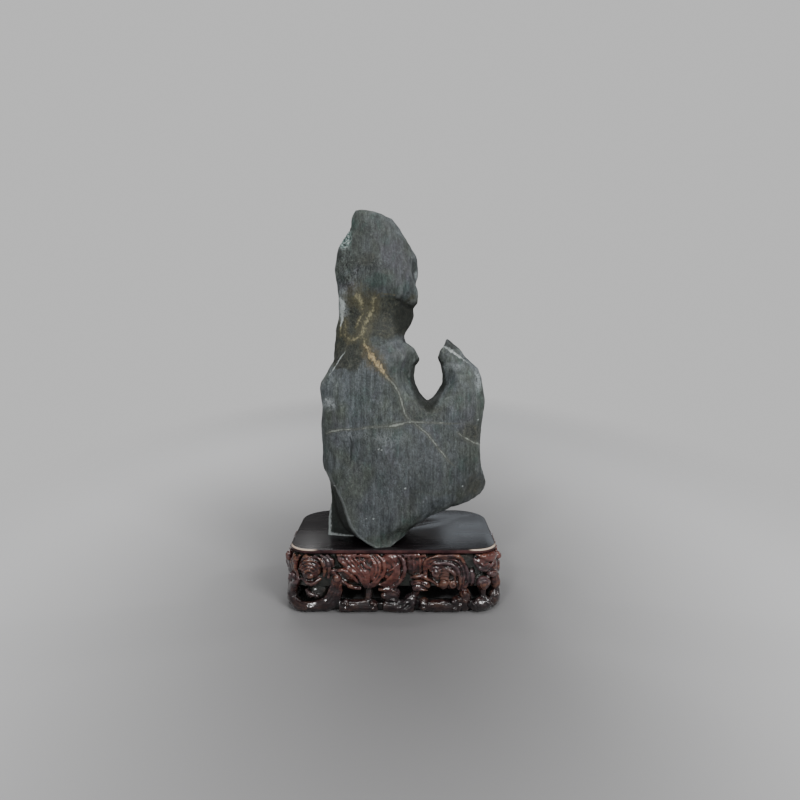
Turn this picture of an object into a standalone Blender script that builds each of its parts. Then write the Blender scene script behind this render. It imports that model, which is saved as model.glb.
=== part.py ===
"""Scholar's rock resting in its carved hardwood stand.

Three pieces: the stone, the lacquered top board with the seat cut for the stone,
and the carved, pierced base. The origin is on the table, under the middle of the
stand. +Z is up and the stand's front faces -Y. Lengths below are in millimetres
unless they are multiplied by MM, and the finished meshes are in metres.
"""

import math

import bmesh
import bpy
import numpy as np
from mathutils import Vector, noise

MM = 0.001

# Stand, driving sizes
BOARD_WIDTH = 184.0
BOARD_DEPTH = 122.0
BOARD_THICKNESS = 4.0
BOARD_EDGE_RADIUS = 1.4
CORNER_FRONT = 20.0
CORNER_BACK = 31.0
STAND_HEIGHT = 57.0
TOUCH_GAP = 0.3

# Carved base
CARVING_OVERHANG = 3.0
WALL_RECESS = 5.5
WALL_THICKNESS = 11.0
APRON_BOTTOM = 22.0
DECK_THICKNESS = 7.0
BASE_TOP = STAND_HEIGHT - BOARD_THICKNESS - TOUCH_GAP
BASE_VOXEL = 1.5
BASE_TRIANGLES = 6000
FLAT_SNAP = 0.5
STROKE_STEP = 2.0
STROKE_ROUNDNESS = 2
LUMP_DETAIL = 2

# Stone
FOOT_LEVEL = -1.7
SEAT_CLEARANCE = 0.45
SLAB_HALF = 20.0
ROUNDING_REACH = 17.0
RIM_SHARE = 0.34
SHEET_EASE = 60.0
BROAD_LUMPS = 1.5
SMALL_LUMPS = 0.7
ROCK_VOXEL = 1.9
ROCK_TRIANGLES = 3100

# Outline of the stone seen from the front: (x, height above the board)
HEAD_RIGHT = [(-33, 295), (-23, 295), (-13, 291.5), (-1, 287), (6, 278), (13, 266), (19, 255),
              (22, 243), (22, 236), (20.5, 231), (22, 224), (22, 214)]
NECK_RIGHT = [(17.5, 209), (18, 203), (15, 193.5), (10.5, 186), (10.5, 180), (18.5, 173), (24, 163.5)]
NOTCH = [(19.5, 158), (18, 148.5), (20.5, 140), (24, 132), (28, 127.5), (31.5, 125.5), (35, 127.5),
         (39.5, 133), (45, 142), (45.3, 150), (43, 159)]
ARM = [(40, 165), (42, 172), (45.5, 176), (48, 182), (52, 180), (56.5, 176), (65, 164.5), (71, 159.5),
       (76.5, 156), (80, 148.5), (82, 134), (83, 126.5), (81, 113), (79, 92.5), (79, 78.5), (81, 62)]
LOWER_LOBE = [(85, 50), (84.5, 43), (80, 38.5), (72, 35.5), (61, 32), (44, 27), (35, 23.5)]
UNDERSIDE = [(24, 15.5), (14, 8.5), (5, 2.5), (-2, -0.8), (-8, -4), (-14, -7), (-60, -7)]
LEFT_SIDE = [(-61.5, 0), (-61, 10.5), (-58, 29.5), (-59, 55), (-61.5, 61), (-66, 72), (-64.5, 94.5),
             (-64, 120), (-66, 137.5), (-65, 143), (-60, 151), (-53.5, 163), (-53.5, 176.5),
             (-51.5, 190), (-48.5, 201.5), (-48.5, 216.5), (-49.5, 230), (-51.5, 243), (-50.5, 253.5),
             (-48, 263), (-46, 269), (-42.5, 273.5), (-38, 278.5), (-36.5, 287)]
OUTLINE = HEAD_RIGHT + NECK_RIGHT + NOTCH + ARM + LOWER_LOBE + UNDERSIDE + LEFT_SIDE

# Depth of the stone's two faces behind the board's front edge: (x, height, depth)
FRONT_FACE = [(-30, 285, 30), (-5, 275, 27), (12, 250, 27), (-42, 255, 31), (-15, 245, 20), (8, 222, 21),
              (-36, 222, 25), (-40, 203, 31), (-20, 203, 28), (0, 203, 30), (14, 203, 38), (-20, 188, 25),
              (0, 172, 16), (-25, 165, 20), (-46, 165, 28), (16, 165, 21), (-56, 130, 25), (-20, 120, 17),
              (10, 110, 16), (30, 112, 20), (50, 165, 32), (62, 147, 24), (60, 120, 21), (76, 120, 27),
              (-55, 80, 25), (-20, 70, 13), (20, 70, 11), (55, 80, 18), (72, 55, 25), (-42, 40, 11),
              (-10, 30, 6), (15, 30, 7), (-18, 4, 4), (0, 4, 7), (40, 42, 14)]
BACK_FACE = [(-30, 285, 48), (0, 270, 53), (-42, 250, 50), (-10, 245, 60), (10, 225, 56), (-34, 205, 49),
             (-8, 200, 56), (2, 172, 58), (-42, 165, 55), (-52, 120, 60), (-14, 118, 68), (20, 100, 66),
             (50, 165, 48), (62, 140, 57), (60, 108, 61), (-52, 70, 58), (-5, 68, 71), (40, 72, 66),
             (74, 52, 55), (-56, 10, 62), (-22, 5, 72), (6, 14, 69)]

# Steps on the front face: (x, height, depth of the step below it), and how far each fades
HEAD_STEP = [(-53, 223, 0.2), (-37, 221, 0.4), (-26, 223.5, 0.7), (-10, 223, 1.0), (4, 219, 2.4),
             (15, 213, 4.2), (26, 212, 4.6)]
HEAD_STEP_FADE = 15.0
CHEST_STEP = [(-30, 184, -0.8), (-16, 182, -1.8), (-2, 183, -2.0), (9, 185, -2.0), (14, 182, -1.6)]
CHEST_STEP_FADE = 24.0
STEP_EDGE = 3.0

# The edge between the lit front and the dark left flank, and the flank's depth
FLANK_EDGE_HEIGHTS = [-5, 0, 3, 8, 17, 29, 41, 62, 66]
FLANK_EDGE_X = [-9, -17, -23, -30, -37, -42, -46, -60, -75]
FLANK_SLOPE = 2.3
FLANK_DEPTH = 38.0
FLANK_DRIFT = 0.10
FLANK_MIDDLE = -40.0
FOOT_SPREAD_HEIGHT = 12.0

# Flat breaks on the stone: (x, depth, height) on the plane, outward direction, reach
BREAKS = [((18, 32, 262), (0.75, -0.60, 0.25), 26),
          ((4, 30, 285), (0.45, -0.30, 0.85), 26),
          ((-50, 33, 250), (-0.70, -0.68, -0.20), 24),
          ((-40, 42, 284), (-0.75, 0.20, 0.60), 22),
          ((14, 34, 205), (0.70, -0.62, -0.35), 18),
          ((-58, 32, 152), (-0.72, -0.55, 0.42), 26),
          ((56, 34, 172), (0.55, -0.35, 0.75), 18),
          ((79, 30, 140), (0.66, -0.74, 0.10), 28),
          ((78, 33, 58), (0.60, -0.72, -0.35), 24),
          ((46, 36, 150), (-0.72, -0.68, 0.10), 16),
          ((16, 34, 150), (0.66, -0.74, 0.10), 16),
          ((-5, 60, 262), (0.25, 0.93, 0.28), 30),
          ((-46, 58, 150), (-0.55, 0.80, 0.20), 34),
          ((56, 58, 100), (0.42, 0.88, -0.20), 34),
          ((-56, 62, 40), (-0.62, 0.76, 0.10), 34),
          ((12, 68, 150), (0.20, 0.95, 0.25), 34)]


def clear_objects():
    """Empty the scene without touching the file's settings."""
    for old in list(bpy.data.objects):
        bpy.data.objects.remove(old, do_unlink=True)


def material(name, colour, roughness, coat):
    """One Principled material."""
    made = bpy.data.materials.new(name)
    made.use_nodes = True
    shader = made.node_tree.nodes["Principled BSDF"]
    shader.inputs["Base Color"].default_value = (*colour, 1.0)
    shader.inputs["Roughness"].default_value = roughness
    shader.inputs["Metallic"].default_value = 0.0
    shader.inputs["Coat Weight"].default_value = coat
    return made


def add_object(name, mesh, finish=None):
    """Link a mesh under its own name, with one material."""
    thing = bpy.data.objects.new(name, mesh)
    bpy.context.collection.objects.link(thing)
    mesh.materials.clear()
    if finish:
        mesh.materials.append(finish)
    return thing


def mesh_from(name, points, faces):
    """A mesh from points in millimetres."""
    mesh = bpy.data.meshes.new(name)
    mesh.from_pydata([tuple(float(value) * MM for value in point) for point in points], [], faces)
    mesh.update()
    return mesh


def prism(outline, low, high, axis):
    """A closed solid: an outline pushed along Y or Z from low to high."""
    bm = bmesh.new()
    if axis == "Y":
        ring = [bm.verts.new((a * MM, low * MM, b * MM)) for a, b in outline]
    else:
        ring = [bm.verts.new((a * MM, b * MM, low * MM)) for a, b in outline]
    face = bm.faces.new(ring)
    pushed = bmesh.ops.extrude_face_region(bm, geom=[face])["geom"]
    moved = [item for item in pushed if isinstance(item, bmesh.types.BMVert)]
    step = Vector((0, (high - low) * MM, 0)) if axis == "Y" else Vector((0, 0, (high - low) * MM))
    bmesh.ops.translate(bm, vec=step, verts=moved)
    bmesh.ops.recalc_face_normals(bm, faces=bm.faces)
    mesh = bpy.data.meshes.new("prism")
    bm.to_mesh(mesh)
    bm.free()
    return mesh


def evaluated(thing):
    """The mesh of an object with its modifiers applied; the object is removed."""
    graph = bpy.context.evaluated_depsgraph_get()
    mesh = bpy.data.meshes.new_from_object(thing.evaluated_get(graph), depsgraph=graph)
    bpy.data.objects.remove(thing, do_unlink=True)
    return mesh


def remeshed(mesh, voxel, smooth_steps):
    """One closed skin round everything in the mesh, lightly smoothed."""
    thing = add_object("work", mesh)
    skin = thing.modifiers.new("skin", "REMESH")
    skin.mode = "VOXEL"
    skin.voxel_size = voxel * MM
    soften = thing.modifiers.new("soften", "SMOOTH")
    soften.factor = 0.5
    soften.iterations = smooth_steps
    return evaluated(thing)


def get_points(mesh):
    """Vertex places in millimetres, one row each."""
    flat = np.empty(len(mesh.vertices) * 3)
    mesh.vertices.foreach_get("co", flat)
    return flat.reshape(-1, 3) / MM


def set_points(mesh, points):
    """Write vertex places given in millimetres."""
    mesh.vertices.foreach_set("co", (points * MM).ravel())
    mesh.update()


def get_normals(mesh):
    """Vertex normals."""
    flat = np.empty(len(mesh.vertices) * 3)
    mesh.vertex_normals.foreach_get("vector", flat)
    return flat.reshape(-1, 3)


def thin_down(thing, triangles):
    """Keep about the given number of triangles, where the shape needs them."""
    thing.data.calc_loop_triangles()
    cut = thing.modifiers.new("fewer_faces", "DECIMATE")
    cut.ratio = triangles / len(thing.data.loop_triangles)
    cut.use_collapse_triangulate = True


# The stone

def distance_to_outline(x, z):
    """Distance from each point to the stone's front outline."""
    nearest = np.full(len(x), 1e9)
    for (x0, z0), (x1, z1) in zip(OUTLINE, OUTLINE[1:] + OUTLINE[:1]):
        along_x, along_z = x1 - x0, z1 - z0
        share = ((x - x0) * along_x + (z - z0) * along_z) / (along_x ** 2 + along_z ** 2)
        share = np.clip(share, 0, 1)
        nearest = np.minimum(nearest, np.hypot(x - x0 - share * along_x, z - z0 - share * along_z))
    return nearest


def bend(distance):
    """Thin plate kernel."""
    safe = np.maximum(distance, 1e-6)
    return safe ** 2 * np.log(safe)


def spread(stations, x, z):
    """A smooth sheet through (x, z, depth) stations, read at the given points."""
    given = np.array(stations, float)
    count = len(given)
    flat = np.c_[np.ones(count), given[:, :2]]
    apart = np.hypot(given[:, None, 0] - given[None, :, 0], given[:, None, 1] - given[None, :, 1])
    system = np.zeros((count + 3, count + 3))
    system[:count, :count] = bend(apart) + SHEET_EASE * np.eye(count)
    system[:count, count:] = flat
    system[count:, :count] = flat.T
    weights = np.linalg.solve(system, np.r_[given[:, 2], np.zeros(3)])
    depth = weights[count] + weights[count + 1] * x + weights[count + 2] * z
    for (px, pz, _), weight in zip(given, weights):
        depth = depth + weight * bend(np.hypot(x - px, z - pz))
    return depth


def smooth_step(values, low, high):
    """0 below low, 1 above high, eased between."""
    share = np.clip((values - low) / (high - low), 0, 1)
    return share * share * (3 - 2 * share)


def step_below(x, z, line, fade):
    """Extra depth below a step line, fading with the distance under it."""
    places = np.array(line, float)
    below = np.interp(x, places[:, 0], places[:, 1]) - z
    drop = np.interp(x, places[:, 0], places[:, 2])
    inside = smooth_step(x, places[0, 0] - STEP_EDGE, places[0, 0] + STEP_EDGE)
    inside = inside * (1 - smooth_step(x, places[-1, 0] - STEP_EDGE, places[-1, 0] + STEP_EDGE))
    return drop * inside * smooth_step(below, 0, STEP_EDGE) * np.exp(-np.maximum(below, 0) / fade)


def front_depth(x, z):
    """Depth of the front face, with its steps and the flank that turns back at the lower left."""
    depth = spread(FRONT_FACE, x, z)
    depth = depth + step_below(x, z, HEAD_STEP, HEAD_STEP_FADE)
    depth = depth + step_below(x, z, CHEST_STEP, CHEST_STEP_FADE)
    edge = np.interp(z, FLANK_EDGE_HEIGHTS, FLANK_EDGE_X)
    turned = depth + FLANK_SLOPE * (edge - x)
    flank = np.minimum(turned, FLANK_DEPTH + FLANK_DRIFT * (FLANK_MIDDLE - x))
    return np.maximum(depth, np.where(x < edge, flank, depth))


def break_flat(points):
    """Push what stands past each break plane back onto it."""
    for (x, depth, height), direction, reach in BREAKS:
        origin = np.array([x, depth, height], float)
        out = np.array(direction, float)
        out /= np.linalg.norm(out)
        past = np.maximum((points - origin) @ out, 0)
        away = np.linalg.norm(points - origin, axis=1)
        hold = np.clip(1.5 - away / reach, 0, 1)
        points = points - (past * hold)[:, None] * out
    return points


def stone_surface(points):
    """Shape the flat slab: faces, rounding, breaks and lumps, in (x, depth, height)."""
    x, across, z = points[:, 0], points[:, 1] / SLAB_HALF, points[:, 2]
    front = front_depth(x, z)
    back = spread(BACK_FACE, x, z)
    inward = np.clip(distance_to_outline(x, z) / ROUNDING_REACH, 0, 1)
    fullness = RIM_SHARE + (1 - RIM_SHARE) * np.sqrt(1 - (1 - inward) ** 2)
    low = np.clip((FOOT_SPREAD_HEIGHT - z) / FOOT_SPREAD_HEIGHT, 0, 1)
    fullness = fullness + (1 - fullness) * low
    middle = 0.5 * (front + back)
    depth = middle + across * fullness * 0.5 * (back - front)
    return break_flat(np.c_[x, depth, z])


def lumps(points, normals):
    """Low swellings and hollows, stretched along the height as the stone's grain is."""
    moved = points.copy()
    for index, (place, out) in enumerate(zip(points, normals)):
        broad = noise.noise(Vector((place[0] / 19, place[1] / 15, place[2] / 27)))
        middling = noise.noise(Vector((place[0] / 8 + 7, place[1] / 8, place[2] / 12)))
        moved[index] += out * (BROAD_LUMPS * broad + SMALL_LUMPS * middling)
    return moved


def build_rock(finish):
    """The stone: slab, skin, shaping, then fewer faces."""
    mesh = remeshed(prism(OUTLINE, -SLAB_HALF, SLAB_HALF, "Y"), ROCK_VOXEL, 3)
    points = stone_surface(get_points(mesh))
    points[:, 1] -= BOARD_DEPTH / 2
    points[:, 2] += STAND_HEIGHT
    set_points(mesh, points)
    points = lumps(points, get_normals(mesh))
    points[:, 2] = np.maximum(points[:, 2], STAND_HEIGHT + FOOT_LEVEL)
    set_points(mesh, points)
    rock = add_object("rock", mesh, finish)
    thin_down(rock, ROCK_TRIANGLES)
    thinned = evaluated(rock)
    return add_object("rock", thinned, finish)


# The stand's plan and its board

def plan(offset, step=1.5):
    """The stand's rounded plan, grown by offset, anticlockwise from the middle of the front."""
    half_x, half_y = BOARD_WIDTH / 2 + offset, BOARD_DEPTH / 2 + offset
    front, back = CORNER_FRONT + offset, CORNER_BACK + offset
    corners = [(half_x - front, -half_y + front, front, -90), (half_x - back, half_y - back, back, 0),
               (-half_x + back, half_y - back, back, 90), (-half_x + front, -half_y + front, front, 180)]
    points = [(0.0, -half_y)]
    for cx, cy, radius, start in corners:
        turns = max(3, round(radius * math.pi / 2 / step))
        for index in range(turns + 1):
            angle = math.radians(start + 90 * index / turns)
            points.append((cx + radius * math.cos(angle), cy + radius * math.sin(angle)))
    return points


def build_board(rock, finish):
    """The top board, rounded at its edge, with the seat cut to the stone's foot."""
    board = add_object("stand_top_board", prism(plan(0, 4.0), STAND_HEIGHT - BOARD_THICKNESS,
                                                STAND_HEIGHT, "Z"), finish)
    edge = board.modifiers.new("rounded_edge", "BEVEL")
    edge.width = BOARD_EDGE_RADIUS * MM
    edge.segments = 3
    edge.limit_method = "ANGLE"
    edge.angle_limit = math.radians(50)
    foot = rock.data.copy()
    set_points(foot, get_points(foot) + SEAT_CLEARANCE * get_normals(foot))
    cutter = add_object("seat_cutter", foot)
    cutter.hide_render = True
    cutter.display_type = "WIRE"
    seat = board.modifiers.new("seat", "BOOLEAN")
    seat.operation = "DIFFERENCE"
    seat.solver = "EXACT"
    seat.object = cutter
    return board


# The carved base

WALK = np.array(plan(CARVING_OVERHANG, 0.5) + plan(CARVING_OVERHANG, 0.5)[:1])
WALK_LENGTH = np.r_[0, np.cumsum(np.hypot(*np.diff(WALK, axis=0).T))]
ROUND = WALK_LENGTH[-1]
RIGHT_END = (BOARD_WIDTH / 2 - CORNER_FRONT + (CORNER_FRONT + CARVING_OVERHANG) * math.pi / 2
             + (BOARD_DEPTH - CORNER_FRONT - CORNER_BACK) / 2)


def along_walk(place):
    """The plan's point at a distance along it from the front's middle."""
    place = np.asarray(place, float) % ROUND
    return [np.interp(place, WALK_LENGTH, WALK[:, axis]) for axis in (0, 1)]


def on_wall(place, height, lift):
    """Points on the stand's side: distance along the plan, height, and lift off the wall."""
    x, y = along_walk(place)
    ahead_x, ahead_y = along_walk(np.asarray(place) + 0.6)
    behind_x, behind_y = along_walk(np.asarray(place) - 0.6)
    run_x, run_y = ahead_x - behind_x, ahead_y - behind_y
    length = np.hypot(run_x, run_y)
    return np.stack([x + run_y / length * lift, y - run_x / length * lift, height + 0 * x], axis=-1)


def curve_through(points):
    """A smooth run of points through the given (along, height, lift) points."""
    given = [np.array(point, float) for point in points]
    given = [2 * given[0] - given[1]] + given + [2 * given[-1] - given[-2]]
    made = []
    for a, b, c, d in zip(given, given[1:], given[2:], given[3:]):
        count = max(2, int(np.linalg.norm(c - b) / STROKE_STEP))
        for index in range(count):
            t = index / count
            made.append(0.5 * (2 * b + (c - a) * t + (2 * a - 5 * b + 4 * c - d) * t ** 2
                               + (3 * b - a - 3 * c + d) * t ** 3))
    made.append(given[-2])
    return np.array(made)


class Carver:
    """Collects the strokes and lumps of the carving, laid out along the stand's sides.

    Each place is (along, height, lift): along the side from its middle, up from the
    table, and out from the carving's general face.
    """

    def __init__(self):
        self.curve = bpy.data.curves.new("carving", "CURVE")
        self.curve.dimensions = "3D"
        self.curve.bevel_depth = MM
        self.curve.bevel_resolution = STROKE_ROUNDNESS
        self.curve.use_fill_caps = True
        self.lumps = []
        self.middle = 0.0
        self.hand = 1

    def turn_to(self, middle, hand):
        """Work on the side with this middle; hand -1 mirrors it."""
        self.middle = middle
        self.hand = hand

    def stroke(self, run, radii):
        """One bead through ready points."""
        spline = self.curve.splines.new("POLY")
        spline.points.add(len(run) - 1)
        places = on_wall(self.middle + self.hand * run[:, 0], run[:, 1], run[:, 2]) * MM
        for point, place, radius in zip(spline.points, places, radii):
            point.co = (*place, 1)
            point.radius = radius

    def bead(self, points, start, middle, end):
        """A smooth stroke through the points, with three radii."""
        run = curve_through(points)
        self.stroke(run, np.interp(np.linspace(0, 1, len(run)), [0, 0.5, 1], [start, middle, end]))

    def lump(self, along, height, lift, half_along, half_height, half_out, tilt=0):
        """A rounded boss, bent to the side that it sits on."""
        bm = bmesh.new()
        bmesh.ops.create_icosphere(bm, subdivisions=LUMP_DETAIL, radius=1.0)
        ball = np.array([vertex.co for vertex in bm.verts])
        a, b = ball[:, 0] * half_along, ball[:, 2] * half_height
        turn = math.radians(tilt)
        a, b = a * math.cos(turn) - b * math.sin(turn), a * math.sin(turn) + b * math.cos(turn)
        places = on_wall(self.middle + self.hand * (along + a), height + b, lift + ball[:, 1] * half_out)
        for vertex, place in zip(bm.verts, places):
            vertex.co = place * MM
        bmesh.ops.recalc_face_normals(bm, faces=bm.faces)
        mesh = bpy.data.meshes.new("lump")
        bm.to_mesh(mesh)
        bm.free()
        self.lumps.append(mesh)

    def whorl(self, along, height, size, turns, start, hand, bead, low, high):
        """A spiral bead that climbs a dome, from lift low at its rim to high at its eye."""
        count = int(turns * 32)
        share = np.linspace(0, 1, count + 1)
        angle = math.radians(start) + hand * share * turns * 2 * math.pi
        radius = size * (1 - 0.88 * share)
        lift = low + (high - low) * np.sqrt(1 - (1 - share) ** 2)
        run = np.c_[along + radius * np.cos(angle), height + radius * np.sin(angle), lift]
        self.stroke(run, bead * (1 - 0.35 * share))

    def ridges(self, one, other, count, radius, lift, crown):
        """Beads side by side from one edge line to the other, crowned in the middle."""
        for share in np.linspace(0, 1, count):
            up = lift + crown * math.sin(math.pi * share)
            points = [(a * (1 - share) + c * share, b * (1 - share) + d * share, up)
                      for (a, b), (c, d) in zip(one, other)]
            self.bead(points, radius, radius * 1.15, radius * 0.8)


def rosette(carver, along, height, size):
    """A domed whorl with a lip under it."""
    carver.lump(along, height, -6.0, size, size, 6.4)
    carver.whorl(along, height, size * 0.95, 2.6, 100, 1, size * 0.13, -3.4, 0.6)
    lip = [(-0.75, -0.8, -3), (-0.16, -1.08, -2), (0.45, -1.02, -1.8), (0.85, -0.7, -3)]
    carver.bead([(along + size * a, height + size * b, lift) for a, b, lift in lip], 1.4, 2.2, 1.4)


def bands(carver):
    """Curved bands that lap round the rosettes, and the corner's outer leaves and knobs."""
    carver.bead([(-70, 51.5, -2.4), (-63.5, 47, -1.4), (-60.5, 40, -1.2), (-61.5, 32, -2.6)], 1.1, 1.9, 1.1)
    carver.bead([(-64, 52, -2.6), (-58.5, 47, -1.6), (-56.2, 39.5, -1.4), (-57.5, 31, -2.8)], 1.1, 1.9, 1.1)
    carver.bead([(-59, 52, -2.6), (-54.4, 47.5, -1.6), (-52.4, 41.5, -2.2)], 1.1, 1.8, 1.0)
    carver.bead([(-84, 51, -2.6), (-88.5, 45, -1.8), (-90, 38, -1.6), (-87, 31, -2.6)], 1.2, 2.0, 1.2)
    carver.bead([(-92, 50, -2.6), (-95.5, 43, -1.6), (-95, 35, -2.0)], 1.4, 2.3, 1.4)
    carver.bead([(-101, 47, -2.6), (-102, 39, -1.8), (-99, 31, -2.6)], 1.6, 2.5, 1.6)
    carver.lump(-101, 49.6, 0.6, 4.0, 3.8, 4.0)
    carver.lump(-95, 30, -1.2, 4.2, 3.6, 3.8)
    carver.lump(-108, 41, -2.4, 5.0, 7.0, 4.4)


def wing(carver):
    """The swept wing of the fan, and the curled leaf under it."""
    carver.ridges([(-49, 53), (-44.5, 46), (-37, 39.5), (-29.5, 33.5), (-24, 22)],
                  [(-35, 53), (-29.5, 48), (-25, 41.5), (-22, 36), (-20.5, 22)], 5, 2.3, -4.4, 1.3)
    carver.bead([(-49.5, 53, -2.4), (-45.5, 46, -1.2), (-37.5, 39, -0.6), (-30, 33, -0.8), (-24.5, 22, -2)],
                1.2, 1.7, 1.2)
    carver.bead([(-47, 52, -3.2), (-34, 52, -2.6), (-21, 51, -3)], 2.2, 2.8, 2.2)
    carver.bead([(-27, 47, -1.2), (-24, 42.5, -0.2), (-20, 40.5, -1)], 1.2, 1.9, 0.9)
    carver.bead([(-52.5, 37.5, -2.4), (-43.5, 38, -1.6), (-35.5, 32.5, -1.6), (-31, 26, -2.8)],
                1.4, 2.0, 1.2)
    carver.bead([(-47, 30, -2.4), (-41.5, 26, -1.4), (-36, 23, -1.2), (-28.5, 21.5, -2.4)], 1.3, 2.0, 1.3)


def leaves(carver, along):
    """The fan's two round leaves, side by side."""
    def put(points):
        return [(along + a, b, lift) for a, b, lift in points]
    carver.lump(along - 15, 38.5, -4.4, 7.5, 13.0, 4.2, -8)
    carver.bead(put([(-15, 53, -2), (-8.2, 45.5, -0.8), (-8.4, 36, -0.6), (-14, 28, -0.8), (-21, 21, -2)]),
                1.2, 1.9, 1.2)
    carver.lump(along - 1, 38, -5.0, 10.5, 15.5, 4.8, 8)
    carver.lump(along - 2.5, 48.5, -3.4, 7.5, 5.0, 3.6)
    carver.bead(put([(3.5, 53, -2), (9.4, 45.5, -1), (9.6, 36, -0.8), (4.5, 27, -0.8), (-4, 21.8, -1),
                     (-13, 20.5, -2)]), 1.4, 2.1, 1.3)


def panel(carver):
    """The plain panel by the scroll, its flutes, and the boss under it."""
    carver.bead([(10, 51.5, -3), (19, 52, -2.4), (29, 51.5, -3)], 2.4, 2.8, 2.2)
    carver.lump(18, 46, -5.4, 9, 8, 3.6)
    carver.bead([(13.9, 53, -1.2), (13.9, 48, -1.8)], 1.4, 1.6, 1.2)
    carver.bead([(15, 31, -3), (25, 32.6, -1.8), (34, 28.6, -1.8), (40, 23.5, -3)], 1.3, 1.9, 1.2)
    carver.lump(24.5, 24.5, -3.4, 9.8, 5.8, 5.0, -8)


def scroll(carver, along):
    """The cloud scroll: nested arches that end in small volutes, over a ribbed stem."""
    def put(points):
        return [(along + a, b, lift) for a, b, lift in points]
    carver.lump(along, 36, -7.4, 17.5, 15, 5.6)
    carver.bead(put([(-17.5, 33, -2.6), (-19.6, 39.5, -2.0), (-18.2, 46, -1.6), (-13.5, 50, -1.4),
                     (-1, 51.3, -1.2), (10.5, 50.6, -1.4), (15.5, 45, -1.4), (18.5, 36, -1.6),
                     (19, 27, -2), (14, 20, -2.8)]),
                1.4, 2.0, 1.4)
    carver.bead(put([(-15.5, 40, -1.6), (-11.3, 44.2, -0.8), (-4.3, 45.2, -0.4), (3.2, 44.4, -0.4),
                     (8.8, 40.5, -0.4), (11.4, 34, -0.6), (12.2, 27, -0.8), (11, 20.5, -2)]), 1.4, 2.1, 1.4)
    carver.bead(put([(0.6, 40, -1), (5.2, 37.5, -0.2), (7.4, 32.5, -0.2), (7.6, 28.5, -1)]), 1.2, 1.9, 1.1)
    carver.whorl(along - 9.6, 36.4, 4.8, 1.5, 160, -1, 1.5, -2.2, 0.4)
    carver.lump(along - 9.6, 36.4, -3.4, 4.6, 4.6, 3.6)
    carver.lump(along - 2.2, 25.2, -3.0, 4.3, 4.6, 4.2)
    carver.lump(along + 6.4, 25.4, -3.0, 4.3, 4.6, 4.2)
    for height in (38.6, 35.8, 33.0, 30.4):
        carver.bead(put([(-5.6, height, -2), (-1.6, height + 1.1, -1), (2.4, height, -1.6)]), 1.1, 1.5, 1.1)


def corner_leaf(carver):
    """The leaf that laps the right corner, with the knuckles under it."""
    carver.lump(88, 49.5, -1.6, 11, 4.8, 4.2, -6)
    carver.bead([(73, 52.5, -2), (78, 51, -0.2), (87, 47.5, 0.6), (96, 45.5, -0.6)], 1.2, 1.9, 1.1)
    carver.lump(103.5, 46, -0.6, 4.0, 3.6, 4.2)
    carver.lump(79.5, 44, -3.4, 8.5, 6.2, 4.0, -20)
    carver.bead([(71.5, 49, -2.4), (74, 42.5, -1.6), (81, 38, -1.0), (89, 40.5, -1.4), (95, 44, -2.2)],
                1.4, 2.1, 1.3)
    carver.lump(91, 34, -1.6, 6.0, 4.4, 4.6)
    carver.lump(80.5, 26.5, -2.4, 7.4, 6.0, 5.4)
    carver.lump(98, 25, -1.6, 5.2, 10.0, 4.6)
    carver.lump(106, 35, -2.4, 5.6, 9.0, 4.6)
    carver.lump(69.5, 31, -4.4, 3.6, 8.0, 4.0)


def foot_left(carver):
    """The big smooth curl at the left of the foot, its tongue, and the knot beside it."""
    carver.bead([(-86, 30, -4), (-94.5, 21, -2.6), (-97.5, 12.5, -2.2), (-90.5, 6.2, -2.2), (-76, 4.9, -2.2),
                 (-62, 5.2, -2.4), (-53.5, 8.5, -3)], 3.4, 5.6, 4.8)
    carver.bead([(-79, 20, -4), (-73.5, 15.6, -2.4), (-66.5, 14.2, -3)], 1.6, 2.4, 1.5)
    carver.lump(-49.8, 29.6, -2.2, 5.2, 5.8, 4.6)
    carver.lump(-53, 36.2, -2.4, 2.8, 3.0, 2.8)
    carver.bead([(-49.5, 28, -3.6), (-51.4, 17, -2.8), (-55, 7, -3)], 4.6, 4.0, 5.2)
    carver.bead([(-104, 24, -4), (-108, 14, -3), (-112, 6, -3)], 4.2, 5.0, 5.4)


def foot_middle(carver):
    """The foot's bars and knots under the fan and the panel."""
    carver.bead([(-48, 5.2, -3), (-35, 5.7, -2.6), (-14, 5.2, -3)], 5.0, 5.6, 4.8)
    carver.lump(-42, 7.4, -1.6, 4.2, 4.0, 4.0)
    carver.lump(-17.6, 7.4, -1.8, 4.2, 4.4, 4.0)
    carver.bead([(-24, 23, -5), (-23.6, 15, -4.6), (-24, 8, -4)], 2.8, 2.5, 3.2)
    carver.lump(-2, 15.5, -3.6, 7.8, 8.4, 5.4)
    carver.lump(-8, 15.2, -1.6, 2.8, 2.8, 2.8)
    carver.bead([(-9, 4.9, -3), (5, 5.4, -2.4), (18, 5.2, -3)], 4.9, 5.4, 4.9)
    carver.lump(15.5, 10.2, -2.6, 6.2, 6.2, 5.0, 30)
    carver.bead([(22, 22, -4.4), (19.5, 15, -4), (17, 9, -3.8)], 3.4, 3.2, 3.6)


def foot_right(carver):
    """The foot's bars and knots under the scroll and the corner leaf."""
    carver.lump(26.8, 7.2, -2.2, 5.2, 6.0, 4.8)
    carver.bead([(29, 5.1, -3), (42, 5.8, -2.6), (56, 5.2, -3)], 4.9, 5.6, 4.9)
    carver.lump(56, 7.4, -2.8, 5.2, 7.4, 5.0)
    carver.lump(63.6, 11, -3.2, 5.6, 10.5, 5.0)
    carver.lump(79.5, 7.0, -2.0, 12.0, 6.6, 5.4)
    carver.bead([(81, 22, -4), (82, 14, -3.8), (84, 8, -3)], 3.4, 3.0, 3.6)
    carver.lump(98, 9.5, -2.2, 8.5, 8.5, 5.2)
    carver.lump(110, 7.0, -2.8, 7.0, 6.6, 5.0)
    carver.bead([(100, 22, -3), (100, 15, -3), (99, 9, -3)], 4.2, 3.8, 4.2)


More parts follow.
